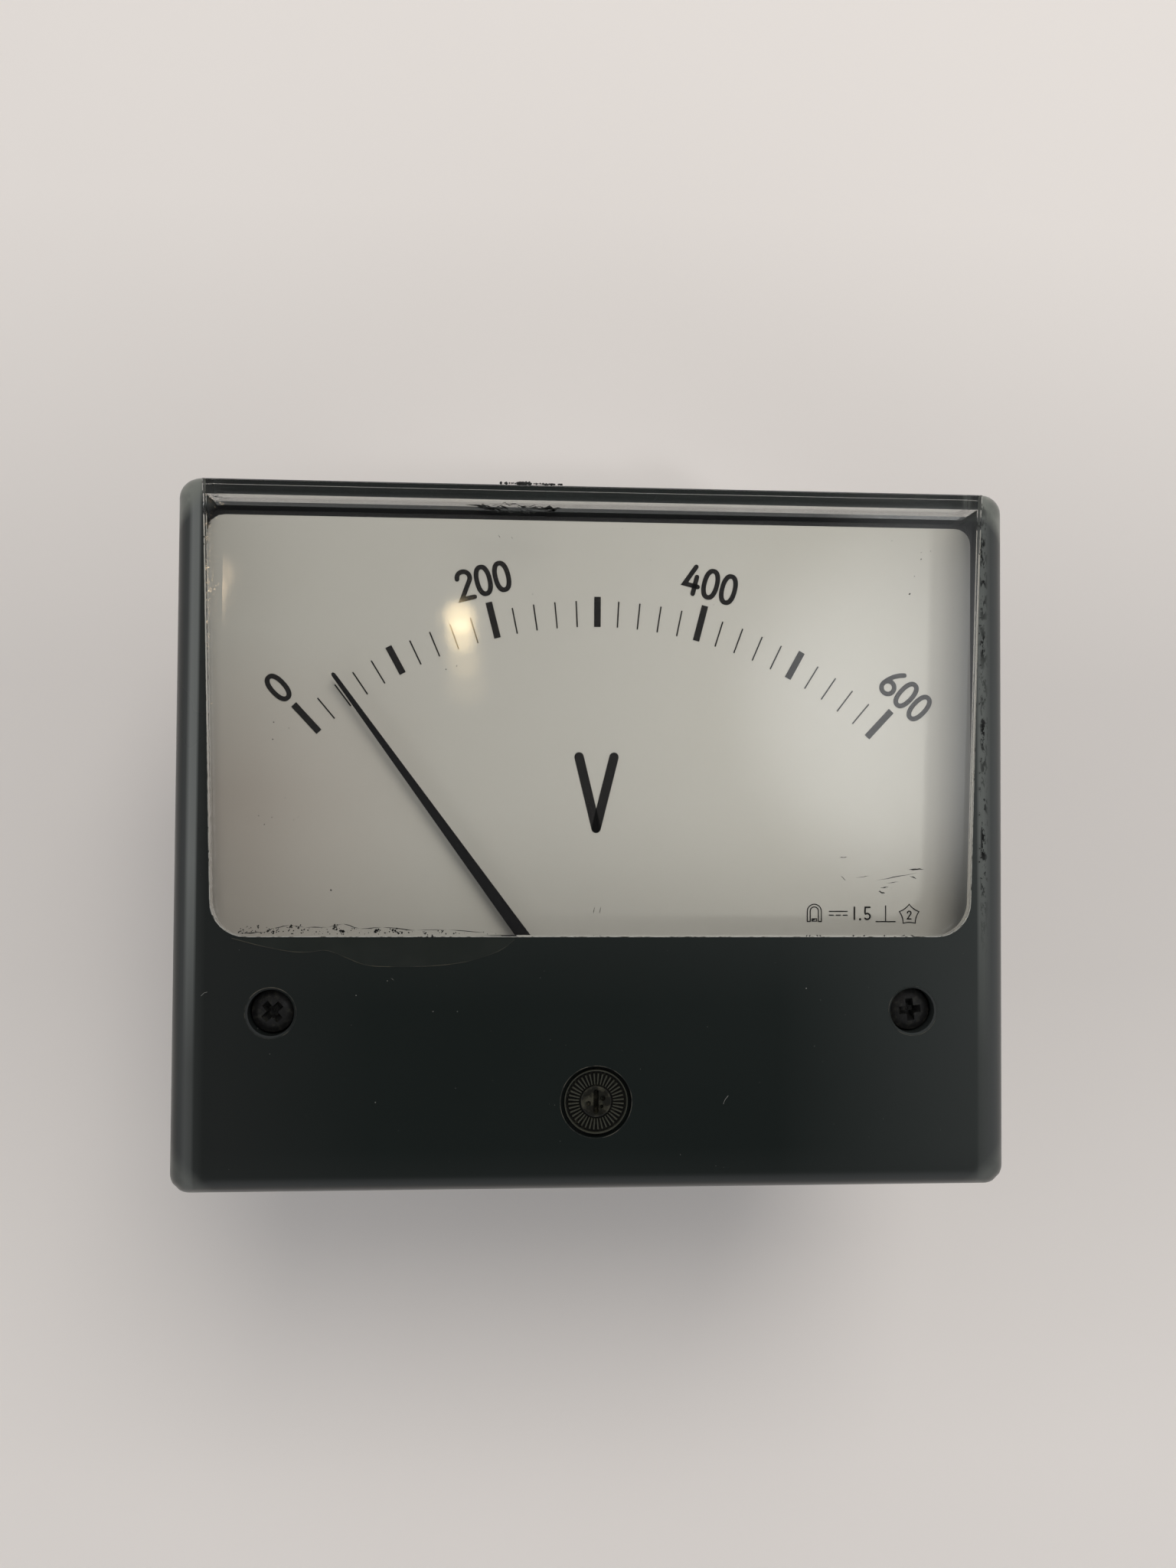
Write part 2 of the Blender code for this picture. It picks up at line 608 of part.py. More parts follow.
def coil_frame(u_in, u_out, z_in, z_out, half_n):
    """Rectangular frame standing on its edge round the core; z_in and z_out are (low, high)."""
    outside = box(-u_out, PIVOT_Y - half_n, z_out[0], u_out, PIVOT_Y + half_n, z_out[1])
    frame = as_object("frame", outside, "aluminium")
    cut(frame, box(-u_in, PIVOT_Y - half_n - 1, z_in[0], u_in, PIVOT_Y + half_n + 1, z_in[1]))
    return frame


former = coil_frame(COIL_U, COIL_U + 0.4, (50.2, 63.8), (49.8, 64.2), 3.0)
former.name = "coil_former"
former.data.name = "coil_former"
settle(former)
winding = coil_frame(COIL_U + 0.7, COIL_U + 1.6, (49.5, 64.5), (48.7, 65.3), 2.5)
winding.name = "coil_winding"
winding.data.name = "coil_winding"
winding.data.materials[0] = material("copper_wire")
settle(winding)

front_profile = [
    (0.0, 65.6), (1.4, 65.6), (1.4, 66.2), (0.8, 66.2), (0.8, 71.8), (1.0, 71.8), (1.0, 72.6), (0.5, 72.6),
    (0.12, 73.75), (0.0, 73.75),
]
settle(as_object("front_pivot", lathe(front_profile, 16, 0, PIVOT_Y), "bright_steel"))
rear_profile = [
    (0.0, 43.55), (0.12, 43.55), (0.5, 44.7), (1.0, 44.7), (1.0, 46.8), (0.8, 46.8), (0.8, 47.8), (1.4, 47.8),
    (1.4, 48.4), (0.0, 48.4),
]
settle(as_object("rear_pivot", lathe(rear_profile, 16, 0, PIVOT_Y), "bright_steel"))

tip_y = PIVOT_Y + POINTER_TIP_R
blade = [
    (-POINTER_HUB_W / 2, PIVOT_Y), (POINTER_HUB_W / 2, PIVOT_Y), (POINTER_TIP_W / 2, tip_y - 0.3),
    (POINTER_TIP_W / 4, tip_y), (-POINTER_TIP_W / 4, tip_y), (-POINTER_TIP_W / 2, tip_y - 0.3),
]
pointer = as_object("pointer", prism(blade, BLADE_Z[0], BLADE_Z[1]), "pointer_black")
add(pointer, rod(HUB_R, BLADE_Z[0], BLADE_Z[1] + 0.2, 24, 0, PIVOT_Y))
cut(pointer, rod(SPINDLE_HOLE_R, BLADE_Z[0] - 0.9, BLADE_Z[1] + 0.7, 16, 0, PIVOT_Y))
settle(pointer)

cross = as_object("balance_cross", rod(HUB_R, CROSS_Z[0], CROSS_Z[1], 24, 0, PIVOT_Y), "aluminium")
add(cross, prism(rect(-ARM_R, PIVOT_Y - ARM_HALF, ARM_R, PIVOT_Y + ARM_HALF), CROSS_Z[0], CROSS_Z[1]))
add(cross, prism(rect(-ARM_HALF, PIVOT_Y - ARM_R, ARM_HALF, PIVOT_Y), CROSS_Z[0], CROSS_Z[1]))
cut(cross, rod(SPINDLE_HOLE_R, CROSS_Z[0] - 1.1, CROSS_Z[1] + 1.4, 16, 0, PIVOT_Y))
settle(cross)


def weight(name, angle, r0, r1):
    """Small sliding balance weight, a sleeve round one arm of the cross."""
    sleeve = as_object(name, tube(0.78, 1.3, r0, r1, 14), "bronze_strip")
    sleeve.data.transform(Matrix.Rotation(radians(90), 4, "X"))
    sleeve.data.transform(Matrix.Rotation(angle, 4, "Z"))
    sleeve.data.transform(Matrix.Translation((0, PIVOT_Y * MM, (CROSS_Z[0] + CROSS_Z[1]) / 2 * MM)))
    return settle(sleeve)


weight("balance_weight_tail", 0.0, 5.2, 8.4)
weight("balance_weight_left", radians(-90), 5.6, 7.6)
weight("balance_weight_right", radians(90), 5.6, 7.6)

for name, outer_r, start, low in (("front_hairspring", 3.9, 0.0, 72.0), ("rear_hairspring", 4.1, pi, 45.4)):
    strip = spiral(SPRING_IN, outer_r, SPRING_TURNS, start, low, low + 0.6, SPRING_T, 20, PIVOT_Y)
    place_origin(as_object(name, strip, "bronze_strip"), 0, PIVOT_Y, ORIGIN_Z)

# ---- zero correction: lever on the pivot axis, adjuster in the cover --------------------
lever = as_object("zero_lever", rod(3.2, LEVER_Z[0], LEVER_Z[1], 24, 0, PIVOT_Y), "aluminium")
add(lever, prism(rect(-FORK_OUT, PIVOT_Y - 8.6, FORK_OUT, PIVOT_Y), LEVER_Z[0], LEVER_Z[1]))
add(lever, prism(rect(-0.45, PIVOT_Y, 0.45, PIVOT_Y + 4.9), LEVER_Z[0], LEVER_Z[1]))
add(lever, prism(rect(-0.45, PIVOT_Y + 4.35, 0.45, PIVOT_Y + 4.9), LEVER_Z[0] - 1.2, LEVER_Z[0] + 0.2))
cut(lever, rod(JEWEL_HOLE_R, LEVER_Z[0] - 1.1, LEVER_Z[1] + 0.5, SMALL, 0, PIVOT_Y))
cut(lever, prism(rect(-FORK_IN, PIVOT_Y - 9.0, FORK_IN, PIVOT_Y - 5.2), LEVER_Z[0] - 1.1, LEVER_Z[1] + 0.5))
place_origin(lever, 0, PIVOT_Y, 73.3)

adjuster_profile = [
    (0.0, 73.9), (2.0, 73.9), (2.0, 76.8), (4.45, 76.8), (4.45, 77.7), (4.1, 77.95), (2.1, 77.95), (1.9, 77.4),
    (0.0, 77.4),
]
adjuster = as_object("zero_adjuster", lathe(adjuster_profile, 36, 0, ADJ_Y), "olive_plastic")
add(adjuster, rod(PIN_R, 72.7, 74.5, TINY, 0, ADJ_Y + PIN_E))
cut(adjuster, box(-0.4, ADJ_Y - 1.7, 76.6, 0.4, ADJ_Y + 1.7, 79.0))
place_origin(adjuster, 0, ADJ_Y, 77.0)
as_object("adjuster_retainer", tube(2.3, 4.0, 74.5, 75.2, 24, 0, ADJ_Y), "gasket_rubber")

# ---- series resistor board in the barrel ---------------------------------------------
board_holes = [circle(s * BOARD_SCREW[0], BOARD_SCREW[1], 1.4, TINY) for s in (-1, 1)]
board = pierced(rect(-22.0, 8.0, 22.0, 24.0), board_holes, 28.0, 29.6)
as_object("resistor_board", board, "circuit_board")
for n, y in ((1, 20.5), (2, 11.0)):
    body = as_object("series_resistor_" + str(n), rod(2.4, -7.5, 7.5, SMALL), "resistor_body")
    body.data.transform(Matrix.Rotation(radians(90), 4, "Y"))
    body.data.transform(Matrix.Translation((0, y * MM, 32.4 * MM)))

PLUS_RUN = ((19, -4, 20.6), (19, 0, 24), (20.5, 6, 26), (24.5, 12, 27), (25, 17, 30), (20, 22, 32))
COIL_RUN = ((-20, 22, 31), (-25, 15, 34), (-27, 2, 38), (-25, -14, 44), (-23, -24, 52), (-21.5, -28.9, 60))
MINUS_RUN = ((-19, -4, 20.6), (-18, -12, 24), (-9, -19, 30), (-4, -22.5, 36), (-1, -23.3, 41))
as_object("wire_plus", swept(PLUS_RUN, WIRE_R, 8), "wire_red")
as_object("wire_coil", swept(COIL_RUN, WIRE_R, 8), "wire_red")
as_object("wire_minus", swept(MINUS_RUN, WIRE_R, 8), "wire_black")

# ---- terminals and mounting hardware at the rear ---------------------------------------


def hex_nut(name, x, y, z0, z1, flats, bore, slot):
    corner = flats / 2 / cos(pi / 6)
    outline = circle(x, y, corner, 6)
    return as_object(name, pierced(outline, [circle(x, y, bore, SMALL)], z0, z1), slot)


def washer(name, x, y, z0, z1, r0, r1, slot):
    return as_object(name, tube(r0, r1, z0, z1, 24, x, y), slot)


for s, side in ((-1, "minus"), (1, "plus")):
    x = s * TERMINAL_X
    stud = as_object("terminal_stud_" + side, rod(3.0, 1.0, 17.0, 24, x, BARREL_Y), "brass")
    add(stud, prism(circle(x, BARREL_Y, 5.6, 6), 15.3, 18.0))
    washer("terminal_washer_" + side, x, BARREL_Y, 10.5, 11.7, 3.3, 6.4, "brass")
    hex_nut("terminal_nut_" + side, x, BARREL_Y, 5.4, 10.2, 10.0, 3.3, "brass")
    tag = as_object("solder_tag_" + side, prism(circle(x, BARREL_Y, 4.6, 20), 18.3, 18.9), "bright_steel")
    add(tag, prism(rect(x - 1.2, BARREL_Y, x + 1.2, BARREL_Y + 8.0), 18.3, 18.9))
    cut(tag, rod(1.1, 18.0, 19.5, TINY, x, BARREL_Y + 6.4))

for s, side in ((-1, "left"), (1, "right")):
    for t, end in ((-1, "lower"), (1, "upper")):
        x = s * STUD[0]
        y = t * STUD[1]
        where = end + "_" + side
        profile = [(0.0, 32.0), (1.5, 32.0), (2.0, 32.6), (2.0, 55.5), (3.5, 55.5), (3.5, 57.4), (0.0, 57.4)]
        as_object("mount_stud_" + where, lathe(profile, 20, x, y), "bright_steel")
        nut = hex_nut("mount_nut_" + where, x, y, 45.0, 48.8, 7.0, 2.3, "bright_steel")
        add(nut, tube(2.3, 4.9, 48.0, 49.2, SMALL, x, y))
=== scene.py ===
"""Looks of the rectangular panel voltmeter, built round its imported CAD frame.

Shapes and the places named in materials are in millimetres and become metres through MM;
texture scales are per metre, and bump distances, lamps and the floor are in metres.
The dial faces +Z, and the top of the scale is towards +Y.
"""

import json
from math import sin, cos, pi, radians, degrees, atan2, copysign, hypot
from random import Random

import bmesh
import bpy
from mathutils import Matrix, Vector


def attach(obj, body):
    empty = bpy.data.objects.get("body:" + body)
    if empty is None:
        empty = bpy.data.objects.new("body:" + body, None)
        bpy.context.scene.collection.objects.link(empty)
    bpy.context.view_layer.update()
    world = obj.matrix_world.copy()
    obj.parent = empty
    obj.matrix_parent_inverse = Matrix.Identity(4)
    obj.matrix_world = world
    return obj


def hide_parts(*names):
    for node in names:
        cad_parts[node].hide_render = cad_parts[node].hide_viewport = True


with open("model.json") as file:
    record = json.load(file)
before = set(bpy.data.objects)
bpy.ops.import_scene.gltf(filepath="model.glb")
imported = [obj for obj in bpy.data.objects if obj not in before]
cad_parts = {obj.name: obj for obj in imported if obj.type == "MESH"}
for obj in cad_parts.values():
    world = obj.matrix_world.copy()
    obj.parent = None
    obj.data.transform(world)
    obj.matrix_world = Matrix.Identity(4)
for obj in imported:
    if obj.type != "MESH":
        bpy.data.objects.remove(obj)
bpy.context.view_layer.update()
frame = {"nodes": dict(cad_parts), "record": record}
NODES = frame["nodes"]
MM = 0.001

# ---- camera: mm and degrees
SENSOR = 36.0
LENS = 27.24609375
CAMERA_AT = Vector((-11.3, 3.3, 245.9))
CAMERA_TURN = (1.37, -3.37, 0.35)
NEAREST_SEEN = 10.0
camera_data = bpy.data.cameras.new("camera")
camera_data.sensor_width = SENSOR
camera_data.lens = LENS
camera_data.clip_start = NEAREST_SEEN * MM
camera = bpy.data.objects.new("camera", camera_data)
camera.location = CAMERA_AT * MM
camera.rotation_euler = [radians(turn) for turn in CAMERA_TURN]
bpy.context.scene.collection.objects.link(camera)
bpy.context.scene.camera = camera

# ---- sizes shared with the frame, mm
HALF_W = 60.0  # half the width of the cover
HALF_H = 50.6  # half its height
CORNER_R = 2.7  # its upright corners
Z_SEAT = 58.0  # where the cover sits on the flange
Z_CHEEK = 77.75  # face of the cheeks and of the mask
Z_FRONT = 78.0  # face of the raised window
WALL = 2.5  # thickness of the cover
Z_CEIL = Z_FRONT - WALL
EDGE_SIDE = 4.5  # reach of the rounded front edge at the sides
EDGE_TOP = 1.2  # at the top
EDGE_LOW = 3.2  # at the bottom
PIVOT_Y = -28.9  # axis of the pointer
DIAL_TOP = 69.2  # face of the dial plate
ADJ_Y = -37.5  # axis of the zero adjuster
SCREW_X = 45.5  # cover screws
SCREW_Y = -24.85


# ---- node materials
class Mat:
    """A Principled material whose texture inputs all read the object's own coordinates."""

    def __init__(self, name, color, rough, metal=0.0):
        self.mat = bpy.data.materials.new(name)
        self.mat.use_nodes = True
        self.tree = self.mat.node_tree
        self.shader = self.tree.nodes["Principled BSDF"]
        self.set("Base Color", (*color, 1.0))
        self.set("Roughness", rough)
        self.set("Metallic", metal)
        self.coord = self.tree.nodes.new("ShaderNodeTexCoord").outputs["Object"]
        self.height = None

    def set(self, socket, value):
        self.shader.inputs[socket].default_value = value

    def link(self, a, b):
        self.tree.links.new(a, b)

    def noise(self, scale, detail=4.0, rough=0.55, stretch=None, distortion=0.0):
        node = self.tree.nodes.new("ShaderNodeTexNoise")
        node.inputs["Scale"].default_value = scale
        node.inputs["Detail"].default_value = detail
        node.inputs["Roughness"].default_value = rough
        node.inputs["Distortion"].default_value = distortion
        source = self.coord
        if stretch:
            mapping = self.tree.nodes.new("ShaderNodeMapping")
            mapping.inputs["Scale"].default_value = stretch
            self.link(self.coord, mapping.inputs["Vector"])
            source = mapping.outputs["Vector"]
        self.link(source, node.inputs["Vector"])
        return node.outputs["Fac"]

    def voronoi(self, scale, feature="F1"):
        node = self.tree.nodes.new("ShaderNodeTexVoronoi")
        node.feature = feature
        node.inputs["Scale"].default_value = scale
        self.link(self.coord, node.inputs["Vector"])
        return node.outputs["Distance"]

    def ramp(self, value, low, high, out_low=0.0, out_high=1.0):
        node = self.tree.nodes.new("ShaderNodeMapRange")
        node.inputs["From Min"].default_value = low
        node.inputs["From Max"].default_value = high
        node.inputs["To Min"].default_value = out_low
        node.inputs["To Max"].default_value = out_high
        self.link(value, node.inputs["Value"])
        return node.outputs["Result"]

    def math(self, how, a, b):
        node = self.tree.nodes.new("ShaderNodeMath")
        node.operation = how
        for socket, value in ((node.inputs[0], a), (node.inputs[1], b)):
            if isinstance(value, (int, float)):
                socket.default_value = value
            else:
                self.link(value, socket)
        return node.outputs["Value"]

    def axis(self, name, size=False):
        """One object coordinate in mm, or its size without the sign."""
        node = self.tree.nodes.new("ShaderNodeSeparateXYZ")
        self.link(self.coord, node.inputs["Vector"])
        place = self.math("DIVIDE", node.outputs[name], MM)
        return self.math("ABSOLUTE", place, 0.0) if size else place

    def band(self, value, rise, fall):
        """1 between the two places, fading to 0 from the second to the first number of each."""
        return self.math("MULTIPLY", self.ramp(value, *rise), self.ramp(value, *fall))

    def tint(self, factor, color):
        """Mix the base colour so far towards color by factor."""
        node = self.tree.nodes.new("ShaderNodeMix")
        node.data_type = "RGBA"
        base = self.shader.inputs["Base Color"]
        if base.is_linked:
            self.link(base.links[0].from_socket, node.inputs["A"])
        else:
            node.inputs["A"].default_value = base.default_value
        node.inputs["B"].default_value = (*color, 1.0)
        self.link(factor, node.inputs["Factor"])
        self.link(node.outputs["Result"], base)
        return self

    def roughness(self, factor, low, high):
        self.link(self.ramp(factor, 0.3, 0.7, low, high), self.shader.inputs["Roughness"])
        return self

    def bump(self, height, strength, distance):
        node = self.tree.nodes.new("ShaderNodeBump")
        node.inputs["Strength"].default_value = strength
        node.inputs["Distance"].default_value = distance
        self.link(height, node.inputs["Height"])
        if self.height:
            self.link(self.height, node.inputs["Normal"])
        self.height = node.outputs["Normal"]
        self.link(self.height, self.shader.inputs["Normal"])
        return self


def plain_plastic(name, color, rough, grain=900.0):
    """Moulded plastic with a fine grain, faint cloudiness and duller patches."""
    m = Mat(name, color, rough)
    cloud = m.noise(60.0, 5.0)
    m.tint(m.ramp(cloud, 0.35, 0.75, 0.0, 0.5), tuple(c * 1.5 + 0.008 for c in color))
    m.roughness(m.noise(140.0, 6.0), rough * 0.8, min(1.0, rough * 1.3))
    m.bump(m.noise(grain, 3.0), 0.25, 0.00012)
    return m


def metal(name, color, rough, brushed=(1.0, 1.0, 1.0), stain=(0.2, 0.17, 0.13)):
    """Plated or bare metal with fine machining lines and some tarnish."""
    m = Mat(name, color, rough, 1.0)
    lines = m.noise(2600.0, 3.0, stretch=brushed)
    m.tint(m.ramp(m.noise(260.0, 6.0), 0.52, 0.78, 0.0, 0.55), stain)
    m.roughness(lines, rough * 0.7, rough * 1.5)
    m.bump(lines, 0.2, 0.00004)
    return m


def mottled(name, color, rough, stain, patches, cover, sheen, grain, metal=0.0):
    """A colour with stained patches, an uneven sheen and a fine grain.

    patches is the noise's scale, detail and, if given, roughness; cover is the noise level where
    a patch begins, the level where it is full, and how much of the stain it then shows; sheen is
    scale, detail and both roughnesses; grain is scale, detail, strength and depth.
    """
    m = Mat(name, color, rough, metal)
    begins, full, most = cover
    m.tint(m.ramp(m.noise(*patches), begins, full, 0.0, most), stain)
    m.roughness(m.noise(*sheen[:2]), *sheen[2:])
    m.bump(m.noise(*grain[:2]), *grain[2:])
    return m


def clear_plastic():
    """Clear moulded acrylic that lets light straight through to what lies under it."""
    m = Mat("cover_clear_plastic", (0.95, 0.955, 0.94), 0.03)
    m.set("Transmission Weight", 1.0)
    m.set("IOR", 1.49)
    scuff = m.noise(900.0, 5.0, stretch=(1.0, 0.12, 1.0))
    m.roughness(scuff, 0.015, 0.05)
    m.bump(m.noise(35.0, 2.0), 0.05, 0.0002)
    wrinkle = m.noise(620.0, 3.0, stretch=(0.6, 1.0, 1.0), distortion=1.2)
    at_left_edge = m.ramp(m.axis("X"), -52.8, -54.5)
    m.bump(m.math("MULTIPLY", wrinkle, at_left_edge), 0.25, 0.0002)
    nodes = m.tree.nodes
    path = nodes.new("ShaderNodeLightPath")
    shown = m.shader.outputs["BSDF"]
    for ray in ("Is Shadow Ray", "Is Diffuse Ray"):
        through = nodes.new("ShaderNodeBsdfTransparent")
        through.inputs["Color"].default_value = (0.955, 0.955, 0.95, 1.0)
        mix = nodes.new("ShaderNodeMixShader")
        m.link(path.outputs[ray], mix.inputs["Fac"])
        m.link(shown, mix.inputs[1])
        m.link(through.outputs["BSDF"], mix.inputs[2])
        shown = mix.outputs["Shader"]
    m.link(shown, nodes["Material Output"].inputs["Surface"])
    return m


def dial_paint():
    """Matt cream paint, with painted shade towards the lower left and along the bottom, where the cover
    shades it.
    """
    m = Mat("dial_paint", (0.592, 0.575, 0.528), 0.42)
    m.tint(m.ramp(m.noise(22.0, 4.0), 0.35, 0.75, 0.0, 0.35), (0.545, 0.525, 0.462))
    # painted shade towards the lower left
    to_left = m.ramp(m.axis("X"), -22.0, -50.0)
    downwards = m.ramp(m.axis("Y"), 30.0, 6.0)
    m.tint(m.math("MULTIPLY", to_left, downwards), (0.475, 0.432, 0.388))
    # painted shade towards the bottom
    m.tint(m.ramp(m.axis("Y"), 4.0, -14.0, 0.0, 0.35), (0.52, 0.508, 0.465))
    m.tint(m.ramp(m.voronoi(420.0), 0.030, 0.018), (0.30, 0.28, 0.24))
    m.roughness(m.noise(300.0, 4.0), 0.36, 0.5)
    m.bump(m.noise(2200.0, 2.0), 0.1, 0.00003)
    return m


def print_ink():
    """Screen-printed black, worn through to the plate in fine specks."""
    m = Mat("dial_ink", (0.013, 0.012, 0.012), 0.5)
    m.tint(m.ramp(m.noise(5200.0, 4.0, 0.7), 0.60, 0.74, 0.0, 0.45), (0.30, 0.28, 0.25))
    m.roughness(m.noise(900.0, 3.0), 0.42, 0.6)
    m.bump(m.noise(4000.0, 2.0), 0.2, 0.00002)
    m.set("Specular IOR Level", 0.2)
    return m


# ---- outlines and solids
def circle(x, y, r, n):
    return [(x + r * cos(2 * pi * i / n), y + r * sin(2 * pi * i / n)) for i in range(n)]


def arc(cx, cy, r, a0, a1, n):
    """Points from angle a0 to a1, in degrees."""
    turns = [radians(a0 + (a1 - a0) * i / n) for i in range(n + 1)]
    return [(cx + r * cos(a), cy + r * sin(a)) for a in turns]


def round_rect(hx, hy, r, n=6, cx=0.0, cy=0.0):
    points = []
    for sx, sy, start in ((1, 1, 0), (-1, 1, 90), (-1, -1, 180), (1, -1, 270)):
        points += arc(cx + sx * (hx - r), cy + sy * (hy - r), r, start, start + 90, n)
    return points


def turned(points, a, x=0.0, y=0.0):
    """The points turned about the origin by a radians, then moved to x, y."""
    return [(x + px * cos(a) - py * sin(a), y + px * sin(a) + py * cos(a)) for px, py in points]


def at_height(points, z):
    return [(x, y, z) for x, y in points]


def loft(rings):
    """Solid through rings of equally many points, closed at both ends."""
    bm = bmesh.new()
    loops = [[bm.verts.new((x * MM, y * MM, z * MM)) for x, y, z in ring] for ring in rings]
    count = len(loops[0])
    for low, high in zip(loops, loops[1:]):
        for i in range(count):
            j = (i + 1) % count
            bm.faces.new((low[i], low[j], high[j], high[i]))
    bm.faces.new(list(reversed(loops[0])))
    bm.faces.new(loops[-1])
    return bm


def prism(outline, z0, z1):
    return loft([at_height(outline, z0), at_height(outline, z1)])


def pierced(outline, holes, z0, z1):
    """Plate with holes."""
    bm = bmesh.new()
    for z in (z0, z1):
        edges = []
        for ring in [outline] + holes:
            verts = [bm.verts.new((x * MM, y * MM, z * MM)) for x, y in ring]
            edges += [bm.edges.new((verts[i - 1], verts[i])) for i in range(len(verts))]
        bmesh.ops.triangle_fill(bm, edges=edges, use_beauty=True, use_dissolve=False)
    bm.verts.ensure_lookup_table()
    half = len(bm.verts) // 2
    start = 0
    for ring in [outline] + holes:
        n = len(ring)
        for i in range(n):
            j = (i + 1) % n
            corners = (start + i, start + j, half + start + j, half + start + i)
            bm.faces.new([bm.verts[k] for k in corners])
        start += n
    bmesh.ops.recalc_face_normals(bm, faces=bm.faces)
    return bm


def lathe(profile, n, x=0.0, y=0.0):
    """Solid of revolution about a vertical axis; a radius of 0 is a point on the axis."""
    bm = bmesh.new()
    rows = []
    for r, z in profile:
        ring = circle(x, y, r, n) if r else [(x, y)]
        rows.append([bm.verts.new((px * MM, py * MM, z * MM)) for px, py in ring])
    pairs = list(zip(rows, rows[1:]))
    if profile[0][0]:
        pairs.append((rows[-1], rows[0]))
    for low, high in pairs:
        for i in range(n):
            j = (i + 1) % n
            if len(low) == 1:
                bm.faces.new((low[0], high[j], high[i]))
            elif len(high) == 1:
                bm.faces.new((low[i], low[j], high[0]))
            else:
                bm.faces.new((low[i], low[j], high[j], high[i]))
    bmesh.ops.recalc_face_normals(bm, faces=bm.faces)
    return bm


def as_object(name, bm, mat=None, smooth=35.0):
    mesh = bpy.data.meshes.new(name)
    bm.to_mesh(mesh)
    bm.free()
    obj = bpy.data.objects.new(name, mesh)
    bpy.context.scene.collection.objects.link(obj)
    mesh.shade_smooth()
    mesh.set_sharp_from_angle(angle=radians(smooth))
    if mat:
        mesh.materials.append(mat.mat)
    return obj


def boolean(obj, bm, how):
    """Combine obj with bm at once; bm is used up."""
    tool = as_object("tool", bm)
    step = obj.modifiers.new(how, "BOOLEAN")
    step.operation = how
    step.solver = "EXACT"
    step.object = tool
    graph = bpy.context.evaluated_depsgraph_get()
    result = bpy.data.meshes.new_from_object(obj.evaluated_get(graph))
    obj.modifiers.clear()
    old = obj.data
    kept = list(old.materials)
    obj.data = result
    obj.data.materials.clear()
    for slot in kept:
        obj.data.materials.append(slot)
    for poly in obj.data.polygons:
        poly.material_index = 0
    bpy.data.objects.remove(tool, do_unlink=True)


def cut(obj, bm):
    boolean(obj, bm, "DIFFERENCE")


def fuse(obj, bm):
    boolean(obj, bm, "UNION")


def weighted(obj, sharp=35.0):
    """Flat faces keep flat shading where they meet rounded ones."""
    obj.data.shade_smooth()
    obj.data.set_sharp_from_angle(angle=radians(sharp))
    step = obj.modifiers.new("normals", "WEIGHTED_NORMAL")
    step.keep_sharp = True
    step.weight = 100


def piece(obj, body, slot, *replaced):
    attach(obj, body)
    if replaced:
        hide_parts(*replaced)
    return obj


# ---- clear cover
ROUND_STEPS = 10
LOW_CORNER = (0.0, 8.0, 18.0, 30.0, 60.0, 72.0, 82.0, 90.0)
TOP_CORNER = tuple(90.0 * i / 7 for i in range(8))


def cover_ring(t, z):
    """Outline of the cover where its front edge has turned by t."""
    left = 1 - cos(t)
    x = HALF_W - EDGE_SIDE * left - CORNER_R
    top = HALF_H - EDGE_TOP * left - CORNER_R
    low = HALF_H - EDGE_LOW * left - CORNER_R
    ring = []
    corners = (
        (x, top, 0, TOP_CORNER), (-x, top, 90, TOP_CORNER),
        (-x, -low, 180, LOW_CORNER), (x, -low, 270, LOW_CORNER),
    )
    for cx, cy, start, turns in corners:
        for turn in turns:
            a = radians(start + turn)
            ring.append((cx + CORNER_R * cos(a), cy + CORNER_R * sin(a), z))
    return ring


PAD_R = 5.0  # lower corners of the raised window pad
PAD_TOP = (55.8, 49.9)  # its upper right corner
PAD_LOW = (54.0, -14.2)  # its lower right corner, before rounding


def pad_outline(grow, top=0.0):
    """Outline of the raised window pad, grown outwards by grow mm."""
    tx = PAD_TOP[0] + grow
    lx = PAD_LOW[0] + grow
    ly = PAD_LOW[1] - grow
    r = PAD_R + grow * 0.5
    points = [(tx, PAD_TOP[1] + top), (-tx, PAD_TOP[1] + top)]
    points += arc(-(lx - r), ly + r, r, 180, 270, 8)
    points += arc(lx - r, ly + r, r, 270, 360, 8)
    return points


def cover_solid():
    """The whole outside of the cover."""
    rings = [cover_ring(0, Z_SEAT), cover_ring(0, Z_SEAT + 0.4)]
    for i in range(ROUND_STEPS + 1):
        t = radians(90.0 * i / ROUND_STEPS)
        rings.append(cover_ring(t, Z_CHEEK - EDGE_SIDE + EDGE_SIDE * sin(t)))
    return loft(rings)


